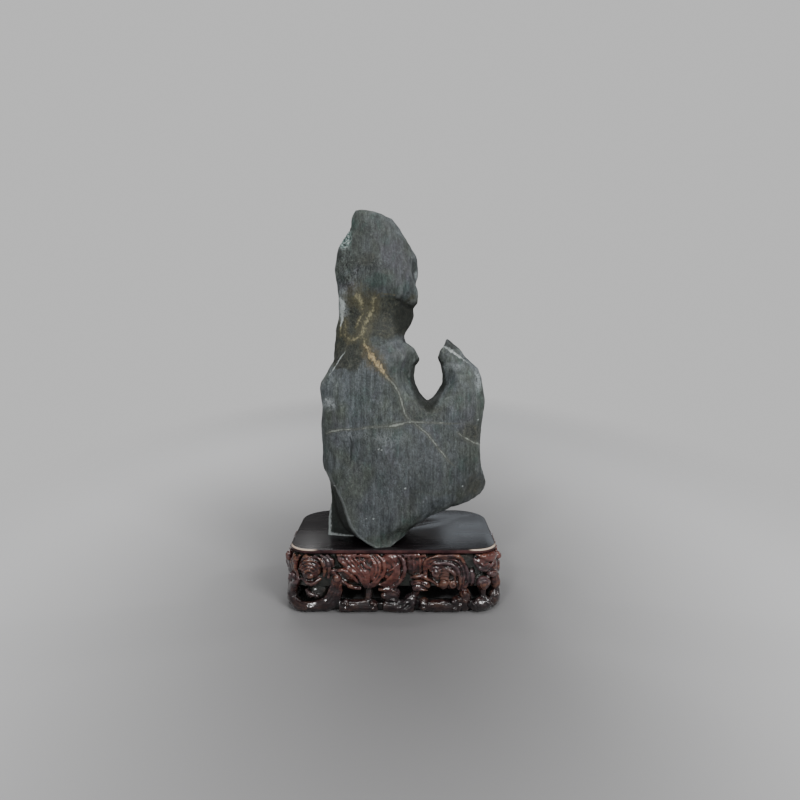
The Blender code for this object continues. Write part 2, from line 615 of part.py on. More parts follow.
def carve_side(carver, middle):
    """A long side: rosette, fan, panel, cloud scroll and corner leaf, over the foot."""
    carver.turn_to(middle, 1)
    rosette(carver, -74.5, 39.6, 12.2)
    bands(carver)
    wing(carver)
    leaves(carver, 0)
    panel(carver)
    scroll(carver, 46.8)
    corner_leaf(carver)
    foot_left(carver)
    foot_middle(carver)
    foot_right(carver)


def carve_end(carver, middle, hand):
    """A short side: cloud scroll between two leaves and a small rosette, over the foot."""
    carver.turn_to(middle, hand)
    scroll(carver, 0)
    leaves(carver, -25)
    rosette(carver, 31, 39, 9.6)
    carver.lump(22, 28, -3.4, 4.5, 6.5, 4.2)
    carver.lump(41, 30, -3.4, 5.0, 7.0, 4.2)
    carver.lump(-42, 26, -3.2, 5.0, 6.5, 4.4)
    for start, end in ((-44, -18), (-16, 14), (16, 44)):
        middle_of_bar = 0.5 * (start + end)
        carver.bead([(start, 5.1, -3.2), (middle_of_bar, 5.8, -2.6), (end, 5.1, -3.2)], 4.8, 5.6, 4.8)
        carver.lump(middle_of_bar + 9, 7.6, -2.0, 4.0, 4.2, 4.0)
    for along in (-44, -16, 15, 43):
        carver.lump(along, 13.5, -3.6, 4.2, 10.5, 4.6)


def ring_solid(outer, inner, low, high):
    """A closed ring wall between two offsets of the plan."""
    out_points, in_points = plan(outer, 3.0), plan(inner, 3.0)
    count = len(out_points)
    in_points = [in_points[round(index * len(in_points) / count) % len(in_points)] for index in range(count)]
    points = [(*p, low) for p in out_points] + [(*p, high) for p in out_points]
    points += [(*p, low) for p in in_points] + [(*p, high) for p in in_points]
    faces = []
    for index in range(count):
        after = (index + 1) % count
        faces.append((index, after, count + after, count + index))
        faces.append((2 * count + after, 2 * count + index, 3 * count + index, 3 * count + after))
        faces.append((count + index, count + after, 3 * count + after, 3 * count + index))
        faces.append((after, index, 2 * count + index, 2 * count + after))
    return mesh_from("ring", points, faces)


def joined(meshes):
    """Several meshes in one, still overlapping."""
    bm = bmesh.new()
    for mesh in meshes:
        bm.from_mesh(mesh)
    mesh = bpy.data.meshes.new("joined")
    bm.to_mesh(mesh)
    bm.free()
    return mesh


def build_base(finish):
    """The carved base: wall, deck and foot ring under one skin with all the carving."""
    carver = Carver()
    carve_side(carver, 0.0)
    carve_side(carver, ROUND / 2)
    carve_end(carver, RIGHT_END, 1)
    carve_end(carver, ROUND - RIGHT_END, -1)
    strokes = evaluated(add_curve(carver.curve))
    outer = CARVING_OVERHANG - WALL_RECESS
    wall = ring_solid(outer, outer - WALL_THICKNESS, APRON_BOTTOM, BASE_TOP + 3)
    foot = ring_solid(outer + 0.5, outer - WALL_THICKNESS + 1, 0.0, 7.0)
    deck = prism(plan(outer - 1, 3.0), BASE_TOP - DECK_THICKNESS, BASE_TOP + 3, "Z")
    mesh = remeshed(joined([strokes, wall, foot, deck] + carver.lumps), BASE_VOXEL, 1)
    points = get_points(mesh)
    points[:, 2] = np.clip(points[:, 2], 0, BASE_TOP)
    set_points(mesh, points)
    base = add_object("stand_carved_base", mesh, finish)
    thin_down(base, BASE_TRIANGLES)
    thinned = evaluated(base)
    points = get_points(thinned)
    points[:, 2] = np.where(points[:, 2] < FLAT_SNAP, 0, points[:, 2])
    points[:, 2] = np.where(points[:, 2] > BASE_TOP - FLAT_SNAP, BASE_TOP, points[:, 2])
    set_points(thinned, points)
    return add_object("stand_carved_base", thinned, finish)


def add_curve(curve):
    """Link a curve as an object."""
    thing = bpy.data.objects.new("strokes", curve)
    bpy.context.collection.objects.link(thing)
    return thing


def main():
    """Build the three pieces."""
    clear_objects()
    stone = material("veined_stone", (0.085, 0.100, 0.095), 0.55, 0.0)
    lacquer = material("dark_lacquer", (0.012, 0.009, 0.009), 0.12, 0.6)
    hardwood = material("carved_hardwood", (0.085, 0.022, 0.018), 0.28, 0.5)
    rock = build_rock(stone)
    build_board(rock, lacquer)
    build_base(hardwood)


main()
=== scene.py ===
"""Looks of the scholar's rock and its carved stand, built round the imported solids.

The fine pieces are made by the same steps as the solids they stand for: the stone is a
slab shaped by depth sheets, and the carving is a set of beads under one skin. Lengths
are in millimetres unless they are multiplied by MM. Finished meshes are in metres.
"""

import math

import bmesh
import bpy
import numpy as np
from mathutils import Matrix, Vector, noise


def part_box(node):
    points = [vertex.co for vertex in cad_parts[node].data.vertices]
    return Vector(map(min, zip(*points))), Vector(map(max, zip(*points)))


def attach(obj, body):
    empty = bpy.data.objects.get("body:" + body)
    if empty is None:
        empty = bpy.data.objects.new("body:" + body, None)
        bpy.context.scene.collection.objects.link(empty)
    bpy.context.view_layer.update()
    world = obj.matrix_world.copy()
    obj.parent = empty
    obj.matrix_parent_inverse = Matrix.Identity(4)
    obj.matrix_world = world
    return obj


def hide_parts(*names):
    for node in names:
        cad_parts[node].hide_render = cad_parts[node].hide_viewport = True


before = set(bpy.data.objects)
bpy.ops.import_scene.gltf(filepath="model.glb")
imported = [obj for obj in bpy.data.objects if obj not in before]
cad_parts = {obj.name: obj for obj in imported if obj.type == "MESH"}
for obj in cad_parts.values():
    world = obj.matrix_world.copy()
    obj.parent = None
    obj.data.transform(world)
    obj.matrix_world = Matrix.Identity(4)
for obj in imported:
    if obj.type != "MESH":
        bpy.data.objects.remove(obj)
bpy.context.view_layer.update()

MM = 0.001

# Stand
BOARD_WIDTH = 184.0
BOARD_DEPTH = 122.0
BOARD_THICKNESS = 4.0
BOARD_EDGE_RADIUS = 1.4
CORNER_FRONT = 20.0
CORNER_BACK = 31.0
STAND_HEIGHT = 57.0
TOUCH_GAP = 0.3
CARVING_OVERHANG = 3.0
WALL_RECESS = 5.5
WALL_THICKNESS = 11.0
APRON_BOTTOM = 22.0
DECK_THICKNESS = 7.0
BASE_TOP = STAND_HEIGHT - BOARD_THICKNESS - TOUCH_GAP
BASE_VOXEL = 0.6
BASE_TRIANGLES = 190000
STROKE_STEP = 0.9
STROKE_ROUNDNESS = 4
LUMP_DETAIL = 4
CUT_BROAD = 0.9
CUT_FINE = 0.5
PLAN_STEP = 3.0
# Where the painted highlight on the board's front corners lies
HIGHLIGHT_CORNER_X = (65.0, 72.0)
HIGHLIGHT_CORNER_Y = (-52.0, -40.0)

# Stone
FOOT_LEVEL = -1.7
SEAT_CLEARANCE = 0.45
SLAB_HALF = 20.0
ROUNDING_REACH = 17.0
RIM_SHARE = 0.34
SHEET_EASE = 60.0
BROAD_LUMPS = 1.5
SMALL_LUMPS = 0.7
FINE_LUMPS = 0.30
GRAIN_DEPTH = 0.13
FLECK_DEPTH = 0.09
FLAKE_DEPTH = 1.5
FOOT_CUT_HEIGHT = 2.5
ROCK_VOXEL = 1.05
FOOT_SPREAD_HEIGHT = 12.0

# Outline of the stone seen from the front: (x, height above the board)
HEAD_RIGHT = [(-33, 295), (-23, 295), (-13, 291.5), (-1, 287), (6, 278), (13, 266), (19, 255),
              (22, 243), (22, 236), (20.5, 231), (22, 224), (22, 214)]
NECK_RIGHT = [(17.5, 209), (18, 203), (15, 193.5), (10.5, 186), (10.5, 180), (18.5, 173), (24, 163.5)]
NOTCH = [(19.5, 158), (18, 148.5), (20.5, 140), (24, 132), (28, 127.5), (31.5, 125.5), (35, 127.5),
         (39.5, 133), (45, 142), (45.3, 150), (43, 159)]
ARM = [(40, 165), (42, 172), (45.5, 176), (48, 182), (52, 180), (56.5, 176), (65, 164.5), (71, 159.5),
       (76.5, 156), (80, 148.5), (82, 134), (83, 126.5), (81, 113), (79, 92.5), (79, 78.5), (81, 62)]
LOWER_LOBE = [(85, 50), (84.5, 43), (80, 38.5), (72, 35.5), (61, 32), (44, 27), (35, 23.5)]
UNDERSIDE = [(24, 15.5), (14, 8.5), (5, 2.5), (-2, -0.8), (-8, -4), (-14, -7), (-60, -7)]
LEFT_SIDE = [(-61.5, 0), (-61, 10.5), (-58, 29.5), (-59, 55), (-61.5, 61), (-66, 72), (-64.5, 94.5),
             (-64, 120), (-66, 137.5), (-65, 143), (-60, 151), (-53.5, 163), (-53.5, 176.5),
             (-51.5, 190), (-48.5, 201.5), (-48.5, 216.5), (-49.5, 230), (-51.5, 243), (-50.5, 253.5),
             (-48, 263), (-46, 269), (-42.5, 273.5), (-38, 278.5), (-36.5, 287)]
OUTLINE = HEAD_RIGHT + NECK_RIGHT + NOTCH + ARM + LOWER_LOBE + UNDERSIDE + LEFT_SIDE

# Depth of the stone's two faces behind the board's front edge: (x, height, depth)
FRONT_FACE = [(-30, 285, 30), (-5, 275, 27), (12, 250, 27), (-42, 255, 31), (-15, 245, 20), (8, 222, 21),
              (-36, 222, 25), (-40, 203, 31), (-20, 203, 28), (0, 203, 30), (14, 203, 38), (-20, 188, 25),
              (0, 172, 16), (-25, 165, 20), (-46, 165, 28), (16, 165, 21), (-56, 130, 25), (-20, 120, 17),
              (10, 110, 16), (30, 112, 20), (50, 165, 32), (62, 147, 24), (60, 120, 21), (76, 120, 27),
              (-55, 80, 25), (-20, 70, 13), (20, 70, 11), (55, 80, 18), (72, 55, 25), (-42, 40, 11),
              (-10, 30, 6), (15, 30, 7), (-18, 4, 4), (0, 4, 7), (40, 42, 14)]
BACK_FACE = [(-30, 285, 48), (0, 270, 53), (-42, 250, 50), (-10, 245, 60), (10, 225, 56), (-34, 205, 49),
             (-8, 200, 56), (2, 172, 58), (-42, 165, 55), (-52, 120, 60), (-14, 118, 68), (20, 100, 66),
             (50, 165, 48), (62, 140, 57), (60, 108, 61), (-52, 70, 58), (-5, 68, 71), (40, 72, 66),
             (74, 52, 55), (-56, 10, 62), (-22, 5, 72), (6, 14, 69)]

# The edge between the lit front and the dark left flank, and the flank's depth
FLANK_EDGE_HEIGHTS = [-5, 0, 3, 8, 17, 29, 41, 62, 66]
FLANK_EDGE_X = [-9, -17, -23, -30, -37, -42, -46, -60, -75]
FLANK_SLOPE = 2.3
FLANK_DEPTH = 38.0
FLANK_DRIFT = 0.10
FLANK_MIDDLE = -40.0

# Flat breaks on the stone: (x, depth, height) on the plane, outward direction, reach
BREAKS = [((18, 32, 262), (0.75, -0.60, 0.25), 26),
          ((4, 30, 285), (0.45, -0.30, 0.85), 26),
          ((-50, 33, 250), (-0.70, -0.68, -0.20), 24),
          ((-40, 42, 284), (-0.75, 0.20, 0.60), 22),
          ((14, 34, 205), (0.70, -0.62, -0.35), 18),
          ((-58, 32, 152), (-0.72, -0.55, 0.42), 26),
          ((56, 34, 172), (0.55, -0.35, 0.75), 18),
          ((79, 30, 140), (0.66, -0.74, 0.10), 28),
          ((78, 33, 58), (0.60, -0.72, -0.35), 24),
          ((46, 36, 150), (-0.72, -0.68, 0.10), 16),
          ((16, 34, 150), (0.66, -0.74, 0.10), 16),
          ((-5, 60, 262), (0.25, 0.93, 0.28), 30),
          ((-46, 58, 150), (-0.55, 0.80, 0.20), 34),
          ((56, 58, 100), (0.42, 0.88, -0.20), 34),
          ((-56, 62, 40), (-0.62, 0.76, 0.10), 34),
          ((12, 68, 150), (0.20, 0.95, 0.25), 34)]

# Steps on the front face: (x, height, depth of the step below it), and how far each fades
HEAD_STEP = [(-53, 223, 0.2), (-37, 221, 0.4), (-26, 223.5, 0.7), (-10, 223, 1.0), (4, 219, 2.4),
             (15, 213, 4.2), (26, 212, 4.6)]
HEAD_STEP_FADE = 15.0
CHEST_STEP = [(-30, 184, -0.8), (-16, 182, -1.8), (-2, 183, -2.0), (9, 185, -2.0), (14, 182, -1.6)]
CHEST_STEP_FADE = 24.0
STEP_EDGE = 5.0

# Veins and marks on the stone: lines of (x, height) with half-widths
MAIN_VEIN = [(-16.5, 219, 1.7), (-18, 207, 1.9), (-22, 201, 1.8), (-25, 196, 2.3), (-27, 186, 2.0),
             (-24.5, 177, 1.4), (-20, 168.5, 2.4), (-15, 162, 2.6), (-10.5, 157, 1.6), (-4.5, 148.5, 0.9),
             (1, 143, 0.8), (5, 136, 0.7), (7, 129, 0.7), (9.5, 120, 0.7), (12, 114, 0.75),
             (17.5, 110, 0.75), (23.5, 104.5, 0.65), (30.5, 99, 0.65), (35, 93, 0.55), (41, 85, 0.5),
             (47.5, 77, 0.45), (55, 69, 0.2)]
LOOP_VEIN = [(-42, 200, 0.7), (-43, 192, 0.9), (-42.5, 186, 1.1), (-39, 181.5, 1.3), (-33.5, 182, 1.1),
             (-27.5, 186.5, 0.9)]
LEVEL_VEIN = [(-60, 97.5, 0.5), (-56.5, 99.5, 0.65), (-47, 102, 0.55), (-33.5, 103, 0.4),
              (-20, 105.5, 0.5), (-3, 106.5, 0.7), (6, 108, 1.0), (13, 110, 0.7), (32, 109, 0.35),
              (50, 108, 0.3), (60, 108, 0.2)]
RIGHT_VEIN = [(57, 100, 0.4), (61, 96.5, 0.6), (66.5, 93, 0.75), (71, 90.5, 0.65), (75.5, 88.5, 0.75),
              (80, 85, 0.5)]
UPPER_THREAD = [(-16.5, 219, 0.4), (-10, 221.5, 0.3), (2, 220, 0.1)]
NECK_BLOB = [(-33, 219, 3.4), (-29, 216, 3.6), (-27, 209, 1.2)]
NECK_LINE = [(-26, 205, 0.4), (-30, 199, 0.7), (-33, 192, 0.5), (-31, 187, 0.4)]
SIDE_LINE = [(-45.5, 207, 0.5), (-45, 200, 0.6), (-46.5, 192, 0.5), (-47.5, 184, 0.4)]
QUARTZ_LINE = [(44, 176, 0.8), (50.5, 172.5, 1.2), (57, 168, 1.2), (61, 164.5, 0.6), (68, 160, 0.4)]
NECK_PATCH = [(-47.5, 218, 1.0), (-44.6, 213, 2.0), (-46.0, 206, 1.7), (-45.2, 200, 1.1), (-47, 193, 0.5)]
# The white line on the left shoulder is a painted highlight on its ridge
SHOULDER_HIGHLIGHT_LINE = [(-42.5, 171, 0.3), (-47, 165.5, 0.5), (-53.5, 155, 0.5), (-58, 149, 0.3)]
DARK_CRACK = [(-38.5, 96, 0.5), (-36.5, 89, 0.9), (-37.5, 80, 0.9), (-38.5, 71, 0.4)]
FINE_CRACK = [(12, 60, 0.2), (16, 52, 0.35), (17, 46, 0.2)]
GOLD_LOW = 143.0
GOLD_HIGH = 158.0
CORE_LOW = 170.0
CORE_HIGH = 180.0
CHIPS = [(-12.7, 86.2, 1.1), (-9.5, 85.5, 0.8), (10.4, 52.6, 0.7), (62.2, 50.8, 0.8), (59.6, 44.4, 0.8),
         (-17.4, 25.1, 0.9), (-23.7, 25.5, 0.6), (6.8, 14.0, 0.7), (-53.0, 50.8, 1.3), (-60.0, 127.3, 1.4),
         (-45.5, 214.3, 1.6), (-43.5, 209.0, 1.2), (-41.0, 265.2, 1.6), (16.8, 253.3, 0.9),
         (39.5, 112.2, 0.7), (76.5, 110.4, 0.8)]
# Widths below this are drawn as this, and marks hidden on the back are moved this far off
THINNEST = 0.2
HIDDEN = 9.0
NO_MARK = 50.0

# Shades and hollows: (x, height), then their half-sizes. The neck's and the flake's shades are painted shade
NECK_SHADE = ((13, 200), (15, 18))
TIP_SHADE = ((53, 177), (8, 6))
CRYSTAL_HOLLOW = ((-43.5, 270), (8.5, 11))
FLAKE_HOLLOW = ((21.5, 244), (6, 14))
FLAKE_SHADE = ((18.5, 245), (2.6, 7))
# Patches of a tint: (x, height), half-sizes, strength
# Cloudy pale patches; those on the left shoulder, on the arm's right edge and below the level vein are
# painted highlights
CLOUDY_AND_HIGHLIGHT_SPOTS = [((-57.5, 124), (8, 7), 1.0), ((-46, 210), (8, 14), 1.0), ((-44, 223), (6, 6), 0.6),
                ((19.8, 237), (2.4, 6), 1.0), ((76, 146), (5, 13), 0.8), ((-5, 96), (20, 8), 0.30),
                ((50, 158), (14, 5), 0.4), ((-35, 98), (22, 5), 0.22), ((45, 76), (20, 14), 0.12)]
BROWN_SPOTS = [((74, 48), (17, 15), 0.9), ((70, 99), (17, 13), 0.9), ((24, 117), (26, 13), 0.7),
               ((-22, 251), (10, 7), 0.65), ((-10, 275), (9, 9), 0.3)]
TEAL_SPOTS = [((-38, 281), (7, 12), 0.9), ((-14, 232), (14, 7), 0.8), ((-30, 130), (14, 10), 0.4),
              ((8, 225), (10, 6), 0.5)]
VIOLET_SPOTS = [((-41, 227), (10, 8), 0.9), ((2, 256), (13, 13), 0.8), ((12, 238), (8, 14), 0.5),
                ((0, 170), (16, 10), 0.4)]
CRINKLED_SPOTS = [((-38, 242), (17, 26), 1.0), ((-16, 246), (14, 12), 0.7), ((-30, 206), (22, 18), 0.6)]
# Edge lines: (x, height, half-width)
FLANK_RIM = [(-59, 42, 1.0), (-60.0, 28, 1.8), (-60.6, 14, 2.2), (-60.6, 2, 2.4), (-56, 0.2, 1.5),
             (-46, -0.2, 1.3), (-36, -0.4, 1.1), (-26, -0.8, 0.7)]
# The notch's rim is drawn dark as painted shade
NOTCH_RIM = [(24, 163.5, 2.4), (19.5, 158, 2.6), (18, 148.5, 3.6), (20.5, 140, 4.4), (24, 132, 5.4),
             (31.5, 125.5, 7.0), (39.5, 133, 3.8), (45, 142, 2.8), (43, 159, 2.2), (40, 165, 1.8)]
FLAKE_EDGE = [(15.8, 258, 0.2), (15, 251, 0.45), (15.4, 243, 0.5), (17.4, 236, 0.45), (20.5, 230, 0.2)]
# The lower edge of the brown neck by x, and the heights between which its top fades
NECK_FOOT_X = [-60, -40, -30, -25, -20, 20]
NECK_FOOT = [158, 154, 158, 168, 183, 185]
NECK_TOP = (216, 223)
# How light the stone is by height: heights, then shares of its usual tone
TONE_HEIGHTS = [0, 60, 90, 105, 125, 150, 175, 200, 225, 245, 265, 295]
TONE_SHARES = [0.84, 0.84, 0.92, 1.02, 1.22, 1.20, 1.06, 1.0, 0.86, 0.78, 0.86, 0.96]


# Meshes

def add_object(name, mesh, finish=None):
    """Link a mesh under its own name, with one material."""
    thing = bpy.data.objects.new(name, mesh)
    bpy.context.collection.objects.link(thing)
    mesh.materials.clear()
    if finish:
        mesh.materials.append(finish)
    return thing


def mesh_from(name, points, faces):
    """A mesh from points in millimetres."""
    mesh = bpy.data.meshes.new(name)
    mesh.from_pydata([tuple(float(value) * MM for value in point) for point in points], [], faces)
    mesh.update()
    return mesh


def prism(outline, low, high, axis):
    """A closed solid: an outline pushed along Y or Z from low to high."""
    bm = bmesh.new()
    if axis == "Y":
        ring = [bm.verts.new((a * MM, low * MM, b * MM)) for a, b in outline]
    else:
        ring = [bm.verts.new((a * MM, b * MM, low * MM)) for a, b in outline]
    face = bm.faces.new(ring)
    pushed = bmesh.ops.extrude_face_region(bm, geom=[face])["geom"]
    moved = [item for item in pushed if isinstance(item, bmesh.types.BMVert)]
    step = Vector((0, (high - low) * MM, 0)) if axis == "Y" else Vector((0, 0, (high - low) * MM))
    bmesh.ops.translate(bm, vec=step, verts=moved)
    bmesh.ops.recalc_face_normals(bm, faces=bm.faces)
    mesh = bpy.data.meshes.new("prism")
    bm.to_mesh(mesh)
    bm.free()
    return mesh


def evaluated(thing):
    """The mesh of an object with its modifiers applied; the object is removed."""
    graph = bpy.context.evaluated_depsgraph_get()
    mesh = bpy.data.meshes.new_from_object(thing.evaluated_get(graph), depsgraph=graph)
    bpy.data.objects.remove(thing, do_unlink=True)
    return mesh


def remeshed(mesh, voxel, smooth_steps):
    """One closed skin round everything in the mesh, lightly smoothed."""
    thing = add_object("work", mesh)
    skin = thing.modifiers.new("skin", "REMESH")
    skin.mode = "VOXEL"
    skin.voxel_size = voxel * MM
    soften = thing.modifiers.new("soften", "SMOOTH")
    soften.factor = 0.5
    soften.iterations = smooth_steps
    return evaluated(thing)


def thinned(mesh, triangles):
    """The mesh with fewer triangles, kept where the shape needs them."""
    mesh.calc_loop_triangles()
    count = len(mesh.loop_triangles)
    if count <= triangles:
        return mesh
    thing = add_object("work", mesh)
    cut = thing.modifiers.new("fewer_faces", "DECIMATE")
    cut.ratio = triangles / count
    mesh = evaluated(thing)
    mesh.validate()
    return mesh


def get_points(mesh):
    """Vertex places in millimetres, one row each."""
    flat = np.empty(len(mesh.vertices) * 3)
    mesh.vertices.foreach_get("co", flat)
    return flat.reshape(-1, 3) / MM


def set_points(mesh, points):
    """Write vertex places given in millimetres."""
    mesh.vertices.foreach_set("co", (points * MM).ravel())
    mesh.update()


def get_normals(mesh):
    """Vertex normals."""
    flat = np.empty(len(mesh.vertices) * 3)
    mesh.vertex_normals.foreach_get("vector", flat)
    return flat.reshape(-1, 3)


def get_edges(mesh):
    """Pairs of vertex numbers."""
    flat = np.empty(len(mesh.edges) * 2, int)
    mesh.edges.foreach_get("vertices", flat)
    return flat.reshape(-1, 2)


def set_attribute(mesh, name, values):
    """One number for each vertex, for the material to read."""
    layer = mesh.attributes.new(name, "FLOAT", "POINT")
    layer.data.foreach_set("value", np.asarray(values, np.float32))


def smoothed(values, edges, steps):
    """Values averaged with their neighbours, several times over."""
    count = len(values)
    total = np.bincount(edges.ravel(), minlength=count).astype(float)
    total = np.maximum(total, 1)
    shape = (count,) + (1,) * (values.ndim - 1)
    for _ in range(steps):
        gathered = np.zeros_like(values)
        np.add.at(gathered, edges[:, 0], values[edges[:, 1]])
        np.add.at(gathered, edges[:, 1], values[edges[:, 0]])
        values = 0.5 * values + 0.5 * gathered / total.reshape(shape)
    return values


def sampled(points, sizes, shift=(0, 0, 0)):
    """Noise read at each point, whose features have the given sizes in millimetres."""
    return np.array([noise.noise(Vector(place)) for place in points / sizes + shift])


def bulge(mesh, steps):
    """How far each point stands out of its smoothed surroundings, in millimetres."""
    points = get_points(mesh)
    soft = smoothed(points, get_edges(mesh), steps)
    return np.einsum("ij,ij->i", points - soft, get_normals(mesh))


def shade_smooth(mesh):
    """Smooth shading all over."""
    mesh.polygons.foreach_set("use_smooth", np.ones(len(mesh.polygons), bool))
    mesh.update()


# The stone's shape

def distance_to_line(x, z, line):
    """Distance to an open line of (x, height), and how far along its widths read there."""
    nearest = np.full(len(x), 1e9)
    width = np.zeros(len(x))
    for start, end in zip(line, line[1:]):
        x0, z0, x1, z1 = start[0], start[1], end[0], end[1]
        along_x, along_z = x1 - x0, z1 - z0
        share = ((x - x0) * along_x + (z - z0) * along_z) / (along_x ** 2 + along_z ** 2)
        share = np.clip(share, 0, 1)
        away = np.hypot(x - x0 - share * along_x, z - z0 - share * along_z)
        closer = away < nearest
        nearest = np.where(closer, away, nearest)
        if len(start) > 2:
            width = np.where(closer, start[2] * (1 - share) + end[2] * share, width)
    return nearest, width


def bend(distance):
    """Thin plate kernel."""
    safe = np.maximum(distance, 1e-6)
    return safe ** 2 * np.log(safe)


def spread(stations, x, z):
    """A smooth sheet through (x, z, depth) stations, read at the given points."""
    given = np.array(stations, float)
    count = len(given)
    flat = np.c_[np.ones(count), given[:, :2]]
    apart = np.hypot(given[:, None, 0] - given[None, :, 0], given[:, None, 1] - given[None, :, 1])
    system = np.zeros((count + 3, count + 3))
    system[:count, :count] = bend(apart) + SHEET_EASE * np.eye(count)
    system[:count, count:] = flat
    system[count:, :count] = flat.T
    weights = np.linalg.solve(system, np.r_[given[:, 2], np.zeros(3)])
    depth = weights[count] + weights[count + 1] * x + weights[count + 2] * z
    for (px, pz, _), weight in zip(given, weights):
        depth = depth + weight * bend(np.hypot(x - px, z - pz))
    return depth


def smooth_step(values, low, high):
    """0 below low, 1 above high, eased between."""
    share = np.clip((values - low) / (high - low), 0, 1)
    return share * share * (3 - 2 * share)


def step_below(x, z, line, fade):
    """Extra depth below a step line, fading with the distance under it."""
    places = np.array(line, float)
    below = np.interp(x, places[:, 0], places[:, 1]) - z
    drop = np.interp(x, places[:, 0], places[:, 2])
    inside = smooth_step(x, places[0, 0] - STEP_EDGE, places[0, 0] + STEP_EDGE)
    inside = inside * (1 - smooth_step(x, places[-1, 0] - STEP_EDGE, places[-1, 0] + STEP_EDGE))
    return drop * inside * smooth_step(below, 0, STEP_EDGE) * np.exp(-np.maximum(below, 0) / fade)


def front_depth(x, z):
    """Depth of the front face, with its steps and the flank that turns back at the lower left."""
    depth = spread(FRONT_FACE, x, z)
    depth = depth + step_below(x, z, HEAD_STEP, HEAD_STEP_FADE)
    depth = depth + step_below(x, z, CHEST_STEP, CHEST_STEP_FADE)
    edge = np.interp(z, FLANK_EDGE_HEIGHTS, FLANK_EDGE_X)
    turned = depth + FLANK_SLOPE * (edge - x)
    flank = np.minimum(turned, FLANK_DEPTH + FLANK_DRIFT * (FLANK_MIDDLE - x))
    return np.maximum(depth, np.where(x < edge, flank, depth))


def break_flat(points):
    """Push what stands past each break plane back onto it."""
    for (x, depth, height), direction, reach in BREAKS:
        origin = np.array([x, depth, height], float)
        out = np.array(direction, float)
        out /= np.linalg.norm(out)
        past = np.maximum((points - origin) @ out, 0)
        away = np.linalg.norm(points - origin, axis=1)
        hold = np.clip(1.5 - away / reach, 0, 1)
        points = points - (past * hold)[:, None] * out
    return points


def stone_surface(points):
    """Shape the flat slab: faces, rounding and breaks, in (x, depth, height)."""
    x, across, z = points[:, 0], points[:, 1] / SLAB_HALF, points[:, 2]
    front = front_depth(x, z)
    back = spread(BACK_FACE, x, z)
    inward = np.clip(distance_to_line(x, z, OUTLINE + OUTLINE[:1])[0] / ROUNDING_REACH, 0, 1)
    fullness = RIM_SHARE + (1 - RIM_SHARE) * np.sqrt(1 - (1 - inward) ** 2)
    low = np.clip((FOOT_SPREAD_HEIGHT - z) / FOOT_SPREAD_HEIGHT, 0, 1)
    fullness = fullness + (1 - fullness) * low
    middle = 0.5 * (front + back)
    depth = middle + across * fullness * 0.5 * (back - front)
    return break_flat(np.c_[x, depth, z])


def lumps(points, normals):
    """Swellings, pits and fine grain, stretched along the height as the stone's grain is."""
    hollow = within(points[:, 0], points[:, 2] - STAND_HEIGHT, CRYSTAL_HOLLOW, 0.4, 1.0)
    slanted = points[:, 2] - STAND_HEIGHT + 0.5 * (points[:, 1] + 30)
    flake = within(points[:, 0], slanted, FLAKE_HOLLOW, 0.6, 1.05) * smooth_step(-points[:, 1], 18, 28)
    push = BROAD_LUMPS * sampled(points, (19, 15, 27)) + SMALL_LUMPS * sampled(points, (8, 8, 12), (7, 0, 0))
    push = push + FINE_LUMPS * sampled(points, (3.6, 3.6, 6), (0, 5, 0))
    push = push + GRAIN_DEPTH * sampled(points, (1.5, 1.5, 13), (0, 0, 9))
    push = push + FLECK_DEPTH * sampled(points, (1.3, 1.3, 1.9), (3, 0, 0)) - FLAKE_DEPTH * flake
    shard = np.abs(sampled(points, (2.3, 2.3, 2.8), (0, 0, 2)))
    push = push - hollow * (0.4 + 3.4 * shard)
    return points + normals * push[:, None]


def within(x, z, oval, full, gone):
    """1 inside an oval of (centre, half-sizes), fading between two shares of its size."""
    (middle_x, middle_z), (half_x, half_z) = oval
    return 1 - smooth_step(np.hypot((x - middle_x) / half_x, (z - middle_z) / half_z), full, gone)


def patchy(spots, x, z, full):
    """The strongest of several soft ovals of (centre, half-sizes, strength)."""
    total = np.zeros(len(x))
    for middle, half, strength in spots:
        total = np.maximum(total, strength * within(x, z, (middle, half), full, 1.2))
    return total


def nearest_mark(x, z, lines, hidden=0.0):
    """How many half-widths away the nearest of several lines is."""
    nearest = np.full(len(x), NO_MARK)
    for line in lines:
        away, width = distance_to_line(x, z, line)
        nearest = np.minimum(nearest, away / np.maximum(width, THINNEST) + hidden)
    return nearest


